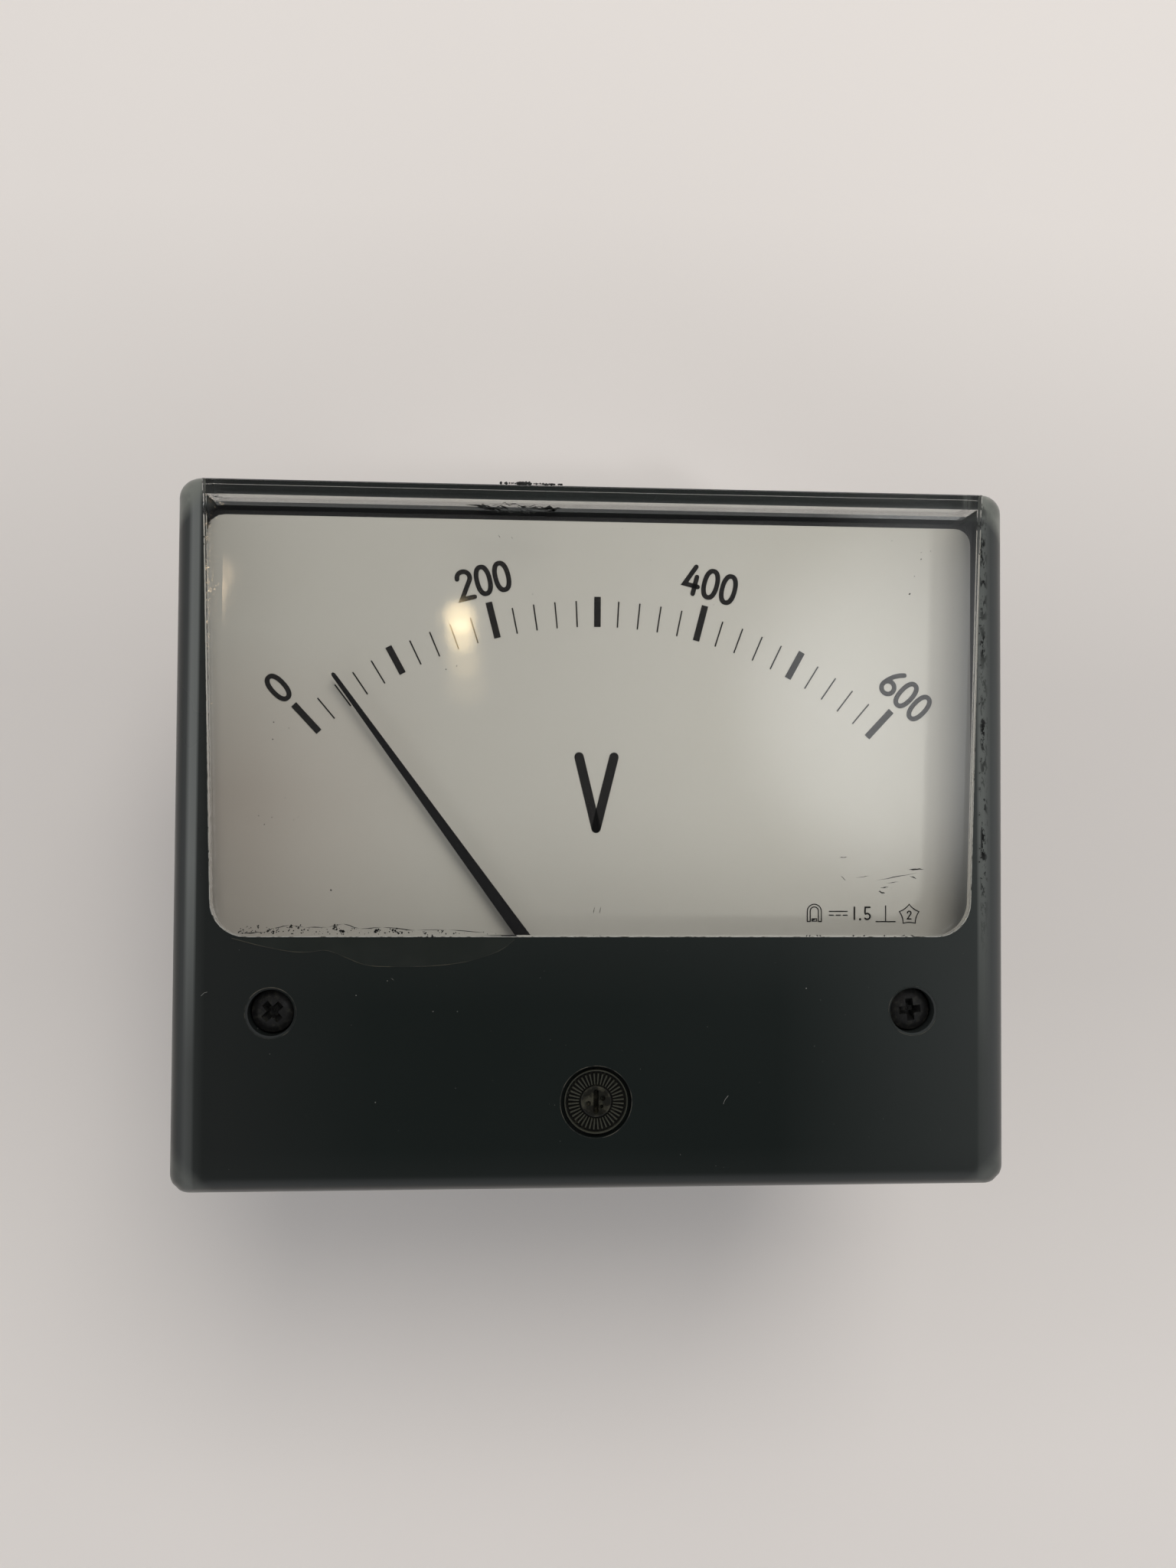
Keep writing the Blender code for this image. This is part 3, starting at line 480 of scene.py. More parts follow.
def smoky_plastic():
    """Nearly black plastic, with painted light that makes it greyer where it is rounded, beside the window
    and at the corners.
    """
    m = Mat("cover_smoky_plastic", (0.0080, 0.0112, 0.0104), 0.30)
    m.tint(m.ramp(m.noise(22.0, 3.0), 0.35, 0.75, 0.0, 0.4), (0.0112, 0.0144, 0.0134))
    side = m.axis("X")
    across = m.axis("X", True)
    along = m.axis("Y")
    # the flat: painted light and reflection making it lighter to the right, to the left, below the window and
    # along the bottom
    m.tint(m.ramp(side, 26.0, 57.5), (0.030, 0.034, 0.033))
    m.tint(m.ramp(along, -24.0, -14.0, 0.0, 0.35), (0.022, 0.025, 0.024))
    m.tint(m.ramp(side, -32.0, -52.0), (0.0145, 0.0165, 0.0160))
    m.tint(m.ramp(along, -44.0, -47.5, 0.0, 0.35), (0.0195, 0.0220, 0.0215))
    # the cheeks, with painted light on their rounded rims and a painted sheen strip beside the window
    m.tint(m.ramp(across, 54.5, 56.6, 0.0, 0.75), (0.036, 0.039, 0.038))
    m.tint(m.ramp(side, -57.6, -58.2, 0.0, 0.8), (0.014, 0.017, 0.016))
    sheen_fade = m.ramp(along, -32.0, -4.0, 0.25, 1.0)
    left_painted_sheen = m.band(side, (-55.8, -56.2), (-57.7, -57.1))
    m.tint(m.math("MULTIPLY", left_painted_sheen, sheen_fade), (0.135, 0.144, 0.140))
    right_painted_sheen = m.band(side, (54.9, 55.3), (57.2, 56.0))
    m.tint(m.math("MULTIPLY", right_painted_sheen, sheen_fade), (0.088, 0.095, 0.090))
    # painted light through the clear upper corners, where |x| + |y| is largest
    corner = m.ramp(m.math("ADD", across, m.axis("Y", True)), 102.2, 104.8)
    corner = m.math("MULTIPLY", corner, m.ramp(m.axis("Z"), 69.0, 74.0))
    corner = m.math("MULTIPLY", corner, m.ramp(along, 40.0, 45.0, 0.30, 1.0))
    corner_light_mottle = m.ramp(m.noise(260.0, 4.0), 0.35, 0.6, 0.6, 1.0)
    m.tint(m.math("MULTIPLY", corner, corner_light_mottle), (0.165, 0.175, 0.155))
    # black dashes of grime beside the window's right edge
    edge = m.band(side, (55.4, 55.7), (56.8, 56.1))
    dashes = m.noise(1300.0, 6.0, 0.7, stretch=(1.0, 0.4, 1.0))
    grime = m.math("MULTIPLY", edge, m.ramp(dashes, 0.51, 0.54))
    grime = m.math("MULTIPLY", grime, m.ramp(m.noise(110.0, 2.0), 0.40, 0.60, 0.35, 1.0))
    m.tint(m.math("MULTIPLY", grime, m.ramp(along, -18.0, -8.0)), (0.003, 0.003, 0.003))
    m.set("Specular IOR Level", 0.26)
    m.roughness(m.noise(40.0, 3.0), 0.27, 0.33)
    m.bump(m.noise(500.0, 4.0), 0.04, 0.00004)
    return m


COVER_CLEAR = clear_plastic()
SMOKY = smoky_plastic()
CLEAR_DOWN_TO = 69.3  # lower end of the clear top wall
FRONT_GAP = 0.12  # between the window and the mask
WINDOW_TOP = Z_FRONT - 0.03
PAD_BEVEL = 0.22
ABOVE = 80.0  # above everything, for cutters
PAST_TOP = 5.0  # how far cutters pass the cover's top edge


def cover_inside():
    """The hollow under the cover, as a cutter."""
    return prism(round_rect(HALF_W - WALL, HALF_H - WALL, 1.2), Z_SEAT - 1, Z_CEIL)


window = as_object("cover_window", cover_solid(), COVER_CLEAR)
boolean(window, prism(pad_outline(0.0, PAST_TOP), CLEAR_DOWN_TO, ABOVE), "INTERSECT")
pad_solid = [at_height(pad_outline(0.0), Z_FRONT - 2.0)]
for inset, z in ((0.0, WINDOW_TOP - PAD_BEVEL), (-PAD_BEVEL, WINDOW_TOP)):
    pad_solid.append(at_height(pad_outline(inset, inset), z))
fuse(window, loft(pad_solid))
cut(window, cover_inside())
weighted(window, 40.0)
piece(window, "case", "clear_acrylic", "front_cover")

# painted highlight: a pale strip round the window's edge that stands in for the light caught there
EDGE_GLINT = mottled(
    "window_edge_glint", (0.42, 0.42, 0.39), 0.5, (0.035, 0.035, 0.03), (900.0, 6.0, 0.7),
    (0.50, 0.60, 1.0), (500.0, 3.0, 0.35, 0.6), (1500.0, 3.0, 0.2, 0.00003),
)
STRIP_PLAY = 0.02
edge_outer = pad_outline(FRONT_GAP - STRIP_PLAY)
edge_inner = pad_outline(STRIP_PLAY)
edge_ring = edge_outer[1:] + [edge_outer[0]] + [edge_inner[0]] + list(reversed(edge_inner[1:]))
edge_strip = as_object("window_edge", prism(edge_ring, Z_CEIL + 0.2, Z_CHEEK - 0.05), EDGE_GLINT)
piece(edge_strip, "case", "clear_acrylic")

COUNTERBORE = ((3.22, 74.0), (3.22, Z_CHEEK - 0.25), (3.47, Z_CHEEK), (3.6, Z_CHEEK + 0.2))
BOSS_R = 5.2
BOSS_FOOT = 64.3
SHANK_HOLE_R = 1.8
RECESS_R = 5.0
RECESS_Z = 76.5
STEM_HOLE_R = 2.5

mask = as_object("cover_mask", cover_solid(), SMOKY)
cut(mask, prism(pad_outline(FRONT_GAP, PAST_TOP), CLEAR_DOWN_TO - FRONT_GAP, ABOVE))
cut(mask, cover_inside())
for x in (-SCREW_X, SCREW_X):
    fuse(mask, prism(circle(x, SCREW_Y, BOSS_R, 40), BOSS_FOOT, Z_CEIL + 1.0))
    cut(mask, loft([at_height(circle(x, SCREW_Y, r, 48), z) for r, z in COUNTERBORE]))
    cut(mask, prism(circle(x, SCREW_Y, SHANK_HOLE_R, 24), BOSS_FOOT - 4.3, Z_CEIL - 0.5))
cut(mask, prism(circle(0, ADJ_Y, RECESS_R, 56), RECESS_Z, ABOVE - 1.0))
cut(mask, prism(circle(0, ADJ_Y, STEM_HOLE_R, 28), RECESS_Z - 2.5, RECESS_Z + 0.5))
weighted(mask, 40.0)
piece(mask, "case", "black_phenolic", "front_cover")

# ---- dial print
INK = print_ink()
PRINT_Z = DIAL_TOP + 0.02
PRINT_T = 0.03
PRINT_X = 0.28  # the print sits this far right of the dial's middle
SCALE_HALF = 42.95  # degrees from straight up to either end of the scale
TICKS = 30
TICK_IN = 59.9  # inner radius of the ticks
LONG_TICK = (65.35, 0.98)  # outer radius and width
HALF_TICK = (64.4, 0.98)
SHORT_TICK = (63.8, 0.2)
ink_parts = []


def add_flat(outline, holes=()):
    """Add one printed shape to the dial."""
    rings = [[(x + PRINT_X, y) for x, y in ring] for ring in (outline, *holes)]
    ink_parts.append(pierced(rings[0], rings[1:], PRINT_Z, PRINT_Z + PRINT_T))


def dial_point(r, angle):
    """Point at radius r from the pivot, angle degrees clockwise from straight up."""
    a = radians(angle)
    return (r * sin(a), PIVOT_Y + r * cos(a))


def bar(p, q, w, round_ends=False):
    """Outline of a straight bar from p to q of width w."""
    dx = q[0] - p[0]
    dy = q[1] - p[1]
    length = hypot(dx, dy)
    nx = -dy / length * w / 2
    ny = dx / length * w / 2
    if not round_ends:
        near = [(p[0] - nx, p[1] - ny), (q[0] - nx, q[1] - ny)]
        return near + [(q[0] + nx, q[1] + ny), (p[0] + nx, p[1] + ny)]
    a = degrees(atan2(dy, dx))
    return arc(q[0], q[1], w / 2, a - 90, a + 90, 8) + arc(p[0], p[1], w / 2, a + 90, a + 270, 8)


def stroke(points, w):
    """Outline of a polyline pen stroke of width w with round ends and mitred bends."""
    left = []
    right = []
    count = len(points)
    for i, (x, y) in enumerate(points):
        ax, ay = points[max(i - 1, 0)]
        bx, by = points[min(i + 1, count - 1)]
        if 0 < i < count - 1:
            d1 = Vector((x - ax, y - ay)).normalized()
            d2 = Vector((bx - x, by - y)).normalized()
            mid = (d1 + d2).normalized()
            n = Vector((-mid.y, mid.x))
            reach = w / 2 / max(0.35, n.dot(Vector((-d1.y, d1.x))))
        else:
            mid = Vector((bx - ax, by - ay)).normalized()
            n = Vector((-mid.y, mid.x))
            reach = w / 2
        left.append((x + n.x * reach, y + n.y * reach))
        right.append((x - n.x * reach, y - n.y * reach))
    x0, y0 = points[0]
    x1, y1 = points[-1]
    a0 = degrees(atan2(points[1][1] - y0, points[1][0] - x0))
    a1 = degrees(atan2(y1 - points[-2][1], x1 - points[-2][0]))
    end = arc(x1, y1, w / 2, a1 - 90, a1 + 90, 8)[1:-1]
    start = arc(x0, y0, w / 2, a0 + 90, a0 + 270, 8)[1:-1]
    return right + end + list(reversed(left)) + start


def oval(rx, ry, power, n=40):
    """A superellipse: power 2 is an ellipse, and more is squarer."""
    points = []
    for i in range(n):
        c, s = cos(2 * pi * i / n), sin(2 * pi * i / n)
        x = copysign(abs(c) ** (2 / power), c)
        y = copysign(abs(s) ** (2 / power), s)
        points.append((rx * x, ry * y))
    return points


def glyph(char, h, w):
    """Outlines [(outline, holes)] of one character about its centre, h high over all, pen width w.

    hx and hy are the half sizes of its centre line.
    """
    hy = (h - w) / 2
    hx = hy * 0.47
    if char == "0":
        return [(oval(hx + w / 2, hy + w / 2, 2.35), [oval(hx - w / 2, hy - w / 2, 2.1)])]
    if char == "2":
        r = hx
        top = arc(0, hy - r, r, 178, -28, 14)
        return [(stroke(top + [(-hx, -hy), (hx * 1.02, -hy)], w), [])]
    if char == "4":
        return [
            (stroke([(0.05 * hx, hy), (-1.1 * hx, -hy * 0.42), (1.05 * hx, -hy * 0.42)], w), []),
            (bar((0.55 * hx, hy * 0.28), (0.55 * hx, -hy), w, True), []),
        ]
    if char == "6":
        r = hx * 1.02
        cy = -hy + r
        ring = (circle(0, cy, r + w / 2, 36), [circle(0, cy, r - w / 2, 32)])
        tail = [(hx * 0.62, hy), (hx * 0.15, hy * 0.78), (-hx * 0.45, hy * 0.38)]
        tail += [(-hx * 0.86, -hy * 0.1), (-r * 0.99, cy + 0.1 * r)]
        return [ring, (stroke(tail, w), [])]
    if char == "1":
        return [(bar((0, hy), (0, -hy), w, True), [])]
    if char == "5":
        belly = arc(-0.05 * hx, -hy + hx * 1.05, hx * 1.02, 125, -140, 14)
        return [(stroke([(hx * 0.9, hy), (-hx * 0.75, hy), (-hx * 0.85, hy * 0.1)] + belly, w), [])]
    if char == ".":
        return [(circle(0, -hy, w * 0.62, 14), [])]
    raise ValueError(char)


def put_glyph(char, h, w, x, y, turn=0.0):
    """Print a character at x, y, turned clockwise by so many degrees."""
    for outline, holes in glyph(char, h, w):
        place = [turned(ring, -radians(turn), x, y) for ring in [outline] + holes]
        add_flat(place[0], place[1:])


for i in range(TICKS + 1):
    angle = -SCALE_HALF + 2 * SCALE_HALF * i / TICKS
    if i % 10 == 0:
        out, width = LONG_TICK
    elif i % 5 == 0:
        out, width = HALF_TICK
    else:
        out, width = SHORT_TICK
    add_flat(bar(dial_point(TICK_IN, angle), dial_point(out, angle), width))

NUM_R = 68.7  # radius of the numbers' middles
NUM_H = 4.75
NUM_W = 0.70
CHAR_PITCH = 2.33  # degrees from one figure to the next
for label, at in (("0", 0), ("200", 10), ("400", 20), ("600", 30)):
    middle = -SCALE_HALF + 2 * SCALE_HALF * at / TICKS
    for k, char in enumerate(label):
        angle = middle + (k - (len(label) - 1) / 2) * CHAR_PITCH
        x, y = dial_point(NUM_R, angle)
        put_glyph(char, NUM_H, NUM_W, x, y, middle)

V_STROKE = 1.4
V_TOP = (2.6, 11.6)
V_FOOT = (0.0, 1.02)
for s in (-1, 1):
    add_flat(bar((s * V_TOP[0], V_TOP[1]), V_FOOT, V_STROKE, True))

# row of generic instrument symbols: magnet, direct current, class, mounting, pentagon
ROW = 0.16  # pen width
ROW_FOOT = -12.75
MAGNET_X = 32.82
MAGNET_OUT = 1.07
MAGNET_IN = 0.62
for reach, top in ((MAGNET_OUT, -11.25), (MAGNET_IN, -11.2)):
    arch = [(MAGNET_X - reach, ROW_FOOT)] + arc(MAGNET_X, top, reach, 180, 0, 12)
    add_flat(stroke(arch + [(MAGNET_X + reach, ROW_FOOT)], ROW))
for s in (-1, 1):
    add_flat(bar((MAGNET_X + s * MAGNET_OUT, ROW_FOOT), (MAGNET_X + s * MAGNET_IN, ROW_FOOT), ROW))
coil = [(-0.37, 0.4), (0.37, 0.4), (0.37, 0.05), (-0.37, 0.05), (-0.37, 0.35)]
add_flat(stroke([(MAGNET_X + x, ROW_FOOT + y) for x, y in coil], ROW * 0.8))
CURRENT_X = 35.03
DASH = 0.75
DASH_PITCH = 1.05
add_flat(bar((CURRENT_X, -11.24), (CURRENT_X + 2 * DASH_PITCH + DASH, -11.24), ROW))
for k in range(3):
    x = CURRENT_X + DASH_PITCH * k
    add_flat(bar((x, -11.81), (x + DASH, -11.81), ROW))
for char, pen, x in (("1", 0.24, 38.91), (".", 0.27, 39.78), ("5", 0.24, 40.88)):
    put_glyph(char, 2.05, pen, x, -11.53)
add_flat(bar((42.15, ROW_FOOT - 0.01), (45.18, ROW_FOOT - 0.01), ROW))
add_flat(bar((43.66, -10.36), (43.66, ROW_FOOT + 0.01), ROW))

# two fine nicks in the paint below the V
for x in (-0.24, 0.68):
    add_flat(bar((x - 0.08, -11.5), (x + 0.08, -10.7), 0.05))


def pentagon(r, cx, cy, sag):
    """Five points whose sides bow inwards by sag."""
    points = []
    for k in range(5):
        a = radians(90 + 72 * k)
        b = radians(90 + 72 * (k + 1))
        p = Vector((cx + r * cos(a), cy + r * sin(a)))
        q = Vector((cx + r * cos(b), cy + r * sin(b)))
        middle = (p + q) / 2
        inward = (Vector((cx, cy)) - middle).normalized()
        for f in (0.0, 0.2, 0.4, 0.6, 0.8):
            bow = 4 * f * (1 - f) * sag
            s = p + (q - p) * f + inward * bow
            points.append((s.x, s.y))
    return points


PENTAGON = (47.27, -11.74)
add_flat(pentagon(1.68, *PENTAGON, 0.16), [pentagon(1.47, *PENTAGON, 0.14)])
put_glyph("2", 1.35, 0.18, PENTAGON[0], PENTAGON[1] - 0.04)


def joined(name, parts, mat):
    """One object from several separate solids."""
    whole = bmesh.new()
    for bm in parts:
        mesh = bpy.data.meshes.new("part")
        bm.to_mesh(mesh)
        bm.free()
        whole.from_mesh(mesh)
        bpy.data.meshes.remove(mesh)
    return as_object(name, whole, mat)


piece(joined("dial_print", ink_parts, INK), "case", "dial_white")

# ---- cover screws with cross recess
# the pale patches on the screw heads are partly worn oxide and partly painted glints
BLACK_OXIDE = mottled(
    "black_oxide_screw", (0.012, 0.012, 0.012), 0.42, (0.055, 0.055, 0.045), (1500.0, 6.0), (0.5, 0.75, 0.6),
    (900.0, 4.0, 0.3, 0.6), (1800.0, 4.0, 0.35, 0.00008), 0.3,
)
UNDER_HEAD = 74.6
HEAD_R = 3.08
SHANK_R = 1.5
SHANK_END = 56.0
SCREW_PITCH = 0.5


def cross_screw(name, x, turn):
    """Cover screw with a cross recess turned by so many degrees."""
    profile = [(0.0, SHANK_END), (1.05, SHANK_END), (SHANK_R, SHANK_END + 0.7)]
    z = SHANK_END + 1.0
    while z < UNDER_HEAD - 2.0:
        profile += [(SHANK_R, z), (SHANK_R - 0.25, z + SCREW_PITCH / 2)]
        z += SCREW_PITCH
    profile += [(SHANK_R, UNDER_HEAD), (HEAD_R - 0.1, UNDER_HEAD), (HEAD_R, UNDER_HEAD + 0.15)]
    profile += [(HEAD_R, UNDER_HEAD + 0.95), (HEAD_R - 0.15, UNDER_HEAD + 1.35)]
    for k in range(1, 5):
        a = radians(18 * k)
        profile.append(((HEAD_R - 0.45) * cos(a), UNDER_HEAD + 1.4 + 0.55 * sin(a)))
    profile.append((0.0, UNDER_HEAD + 1.95))
    screw = as_object(name, lathe(profile, 56, x, SCREW_Y), BLACK_OXIDE)
    for arm in (turn, turn + 90.0):
        rings = []
        for rise, reach, half in ((0.35, 0.8, 0.34), (2.2, 1.8, 0.58)):
            corners = [(-reach, -half), (reach, -half), (reach, half), (-reach, half)]
            rings.append(at_height(turned(corners, radians(arm), x, SCREW_Y), UNDER_HEAD + rise))
        cut(screw, loft(rings))
    cone = ((0.2, 0.25), (2.3, 0.95))
    centre = [at_height(circle(x, SCREW_Y, r, 20), UNDER_HEAD + rise) for rise, r in cone]
    cut(screw, loft(centre))
    weighted(screw)
    return screw


for side, x, turn in (("left", -SCREW_X, 42.0), ("right", SCREW_X, 6.0)):
    piece(cross_screw("screw_" + side, x, turn), "case", "black_screw", "cover_screw_" + side)

# ---- zero adjuster
OLIVE = Mat("adjuster_plastic", (0.0045, 0.0045, 0.0035), 0.38)
# painted shade: the disc dark low down between the ribs and lighter on the rib tops
OLIVE.tint(OLIVE.ramp(OLIVE.axis("Z"), 77.22, 77.46), (0.041, 0.042, 0.032))
OLIVE.tint(OLIVE.ramp(OLIVE.noise(1300.0, 6.0), 0.55, 0.75, 0.0, 0.6), (0.050, 0.048, 0.034))
OLIVE.roughness(OLIVE.noise(700.0, 5.0), 0.32, 0.6)
OLIVE.bump(OLIVE.noise(1600.0, 4.0), 0.35, 0.0001)
OLIVE.set("Specular IOR Level", 0.35)
HUB = mottled(
    "adjuster_hub", (0.0062, 0.0060, 0.0038), 0.45, (0.042, 0.040, 0.028), (900.0, 6.0), (0.48, 0.62, 0.9),
    (700.0, 5.0, 0.35, 0.6), (1100.0, 4.0, 0.6, 0.00015),
)
HUB.set("Specular IOR Level", 0.25)
RIBS = 40
RIB_FOOT = 77.0
HUB_R = 2.15
DISC_PROFILE = [
    (0.0, 73.9), (2.0, 73.9), (2.0, 76.8), (4.45, 76.8), (4.5, 77.5), (4.46, 77.7), (4.36, 77.7),
    (4.28, 77.4), (4.24, 77.12), (2.2, 77.12), (2.14, 77.5), (2.0, 77.58), (1.2, 77.5), (0.0, 77.46),
]
SLOT_HALF_W = 0.36
SLOT_HALF_L = 1.7
SLOT_FLOOR = 76.4
DENTS = ((0.95, 0.45, 0.45), (-1.05, -0.25, 0.4), (0.8, -0.7, 0.32))  # place off the axis, radius
CAM_PIN = (1.3, 0.5, 72.7, 74.4)  # its place off the axis, radius, foot and top
ribs = []
for k in range(RIBS):
    rings = []
    for rise, half in ((0.0, 0.15), (0.45, 0.13), (0.56, 0.07)):
        near = 2.3 + rise * 0.25
        far = 4.12 - rise * 0.4
        corners = [(near, -half * 0.7), (far, -half), (far, half), (near, half * 0.7)]
        ring = turned(corners, 2 * pi * (k + 0.5) / RIBS, 0.0, ADJ_Y)
        rings.append(at_height(ring, RIB_FOOT + rise))
    ribs.append(loft(rings))
adjuster = as_object("adjuster_disc", lathe(DISC_PROFILE, 80, 0, ADJ_Y), OLIVE)
slot = [(x, ADJ_Y + y) for x, y in round_rect(SLOT_HALF_W, SLOT_HALF_L, 0.3, 4)]
cut(adjuster, prism(slot, SLOT_FLOOR, ABOVE - 1.0))
for x, y, r in DENTS:
    dent = lathe([(0.0, 77.0), (r * 0.6, 77.1), (r, 77.7), (0.0, 77.9)], 14, x, ADJ_Y + y)
    cut(adjuster, dent)
off_axis, pin_r, pin_foot, pin_top = CAM_PIN
fuse(adjuster, prism(circle(0, ADJ_Y + off_axis, pin_r, 16), pin_foot, pin_top))
adjuster.data.materials.append(HUB.mat)
for face in adjuster.data.polygons:
    spot = face.center / MM
    if hypot(spot.x, spot.y - ADJ_Y) < HUB_R and spot.z > 76.0:
        face.material_index = 1
weighted(adjuster)
piece(adjuster, "zero_adjuster", "olive_plastic", "zero_adjuster")
piece(joined("adjuster_ribs", ribs, OLIVE), "zero_adjuster", "olive_plastic")

# ---- wear: scratches, scuffs, dust, and film under the window edge
SPOTS = Random(11)
DIRT = mottled(
    "dirt", (0.012, 0.012, 0.011), 0.7, (0.05, 0.05, 0.045), (1500.0, 4.0), (0.5, 0.7, 0.5),
    (900.0, 3.0, 0.6, 0.85), (2500.0, 3.0, 0.3, 0.00005),
)
LINT = mottled(
    "lint", (0.16, 0.16, 0.15), 0.8, (0.30, 0.30, 0.28), (1500.0, 3.0), (0.4, 0.7, 1.0),
    (900.0, 3.0, 0.6, 0.9), (2500.0, 3.0, 0.3, 0.00003),
)
FILM = mottled(
    "peeled_film", (0.0108, 0.0138, 0.0118), 0.34, (0.016, 0.019, 0.016), (150.0, 4.0), (0.4, 0.7, 0.6),
    (200.0, 3.0, 0.3, 0.4), (400.0, 3.0, 0.1, 0.00005),
)
FILM_EDGE = mottled(
    "film_edge", (0.048, 0.046, 0.035), 0.4, (0.014, 0.016, 0.014), (300.0, 4.0), (0.38, 0.62, 1.0),
    (400.0, 3.0, 0.3, 0.5), (900.0, 3.0, 0.1, 0.00003),
)
# colour of the pale rings round the screw holes and the adjuster's recess
PALE_RIM = mottled(
    "pale_rim", (0.011, 0.013, 0.012), 0.4, (0.075, 0.070, 0.056), (420.0, 5.0, 0.6), (0.46, 0.60, 1.0),
    (700.0, 3.0, 0.35, 0.5), (1600.0, 3.0, 0.2, 0.00003),
)
MARK_LOW = WINDOW_TOP + 0.005
MARK_HIGH = Z_FRONT - 0.005


def scratch(p, q, w):
    """Outline of a thin mark from p to q, pointed at both ends, at most w wide."""
    dx = q[0] - p[0]
    dy = q[1] - p[1]
    length = hypot(dx, dy)
    upper = []
    lower = []
    for k in range(1, 7):
        t = k / 7
        half = w / 2 * sin(pi * t) * SPOTS.uniform(0.5, 1.0)
        sway = SPOTS.uniform(-0.3, 0.3) * w
        x = p[0] + dx * t - dy / length * sway
        y = p[1] + dy * t + dx / length * sway
        upper.append((x - dy / length * half, y + dx / length * half))
        lower.append((x + dy / length * half, y - dx / length * half))
    return [p] + lower + [q] + list(reversed(upper))


def blot(x, y, r, n=7):
    """Outline of a small irregular spot."""
    points = []
    for k in range(n):
        a = 2 * pi * k / n
        reach = r * SPOTS.uniform(0.55, 1.15)
        points.append((x + reach * cos(a), y + reach * sin(a)))
    return points


def sprinkled(count, xs, ys, radii):
    """This many blots at random places; ranges are (least, most)."""
    return [blot(SPOTS.uniform(*xs), SPOTS.uniform(*ys), SPOTS.uniform(*radii)) for k in range(count)]


def marks(name, outlines, z0=MARK_LOW, z1=MARK_HIGH, mat=DIRT, slot="black_phenolic"):
    """Thin flakes of these outlines as one piece, on the window by default."""
    flakes = [prism(outline, z0, z1) for outline in outlines]
    return piece(joined(name, flakes, mat), "case", slot)


# from, to and width; the last two are at the top, the others at the lower right
SCRATCHES = (
    ((44.8, -4.6), (47.1, -4.5), 0.30), ((40.0, -6.2), (46.2, -5.0), 0.12),
    ((45.0, -5.5), (46.0, -5.9), 0.22), ((40.4, -7.75), (41.4, -7.95), 0.30),
    ((40.7, -7.25), (41.9, -7.05), 0.16), ((34.7, -2.9), (35.9, -2.8), 0.15),
    ((37.1, -5.8), (39.1, -5.5), 0.10), ((34.9, -5.5), (35.7, -6.2), 0.13),
    ((41.5, -6.6), (43.4, -6.3), 0.10), ((-14.4, 42.6), (-14.1, 42.2), 0.09),
    ((-12.6, 42.4), (-12.3, 42.1), 0.07),
)
marks("window_scratches", [scratch(*mark) for mark in SCRATCHES])
# place and radius of the larger specks
SPECKS = (
    (45.0, 35.2, 0.16), (46.7, 41.3, 0.08), (46.7, 40.3, 0.10), (48.1, 41.5, 0.07), (45.7, 37.8, 0.08),
    (-45.5, 15.7, 0.09), (-45.6, 13.3, 0.09), (-43.4, 14.9, 0.07), (-43.8, 5.1, 0.07), (-45.6, 2.4, 0.08),
    (-42.0, 2.4, 0.07), (-46.6, 1.4, 0.09), (-47.4, 2.6, 0.08), (-37.3, -7.7, 0.14), (-47.4, -12.7, 0.10),
    (-21.6, 23.4, 0.11), (-20.1, 23.9, 0.10),
)
DUSTY_X = (-53, 53)
specks = [blot(*speck) for speck in SPECKS] + sprinkled(60, DUSTY_X, (-12, 44), (0.03, 0.06))
marks("window_specks", specks)

# grime creeping in along the window's lower left edge
GRIME_LINE = (
    (-49.9, -13.75), (-46.4, -13.6), (-45.1, -13.0), (-43.0, -12.6), (-40.9, -12.9), (-37.7, -12.9),
    (-35.6, -12.4), (-33.3, -13.1), (-30.1, -12.9), (-25.5, -13.3), (-21.0, -13.2), (-16.0, -13.6),
)
GRIME_LEFT = -50
GRIME_RUN = 36
GRIME_FOOT = -13.85
grime = [scratch(p, q, SPOTS.uniform(0.08, 0.2)) for p, q in zip(GRIME_LINE, GRIME_LINE[1:])]
for k in range(110):
    t = SPOTS.random() ** 1.4
    rise = SPOTS.random() * 1.1 * (1 - 0.6 * t)
    grime.append(blot(GRIME_LEFT + GRIME_RUN * t, GRIME_FOOT + rise, SPOTS.uniform(0.04, 0.13)))
# place, half width and count of the clumps of blots
GRIME_CLUMPS = (
    (-47.5, -12.7, 0.3, 3), (-45.2, -13.5, 0.8, 8), (-42.2, -12.95, 0.9, 8), (-36.4, -12.9, 0.6, 9),
    (-35.8, -13.7, 0.4, 8), (-30.6, -13.5, 1.0, 12), (-28.2, -13.4, 0.8, 10), (-23.5, -14.0, 0.8, 7),
)
for x, y, spread, count in GRIME_CLUMPS:
    for k in range(count):
        at = (x + SPOTS.uniform(-spread, spread), y + SPOTS.uniform(-0.35, 0.35))
        grime.append(blot(*at, SPOTS.uniform(0.07, 0.21)))
# blots along the window's sides, mostly the right
for k in range(70):
    side = SPOTS.choice((-1, 1, 1, 1))
    grime.append(blot(side * SPOTS.uniform(55.25, 55.6), SPOTS.uniform(-9, 46), SPOTS.uniform(0.05, 0.15)))
marks("window_grime", grime)

# free edge of the film peeled back under the window, from left to right
PEEL = (
    (-50.9, -14.45), (-46.5, -15.6), (-42.7, -16.3), (-40.1, -16.35), (-37.8, -16.15), (-34.8, -17.3),
    (-32.7, -18.1), (-30.0, -18.4), (-23.7, -18.35), (-18.3, -17.7), (-14.0, -16.3), (-11.7, -14.7),
)


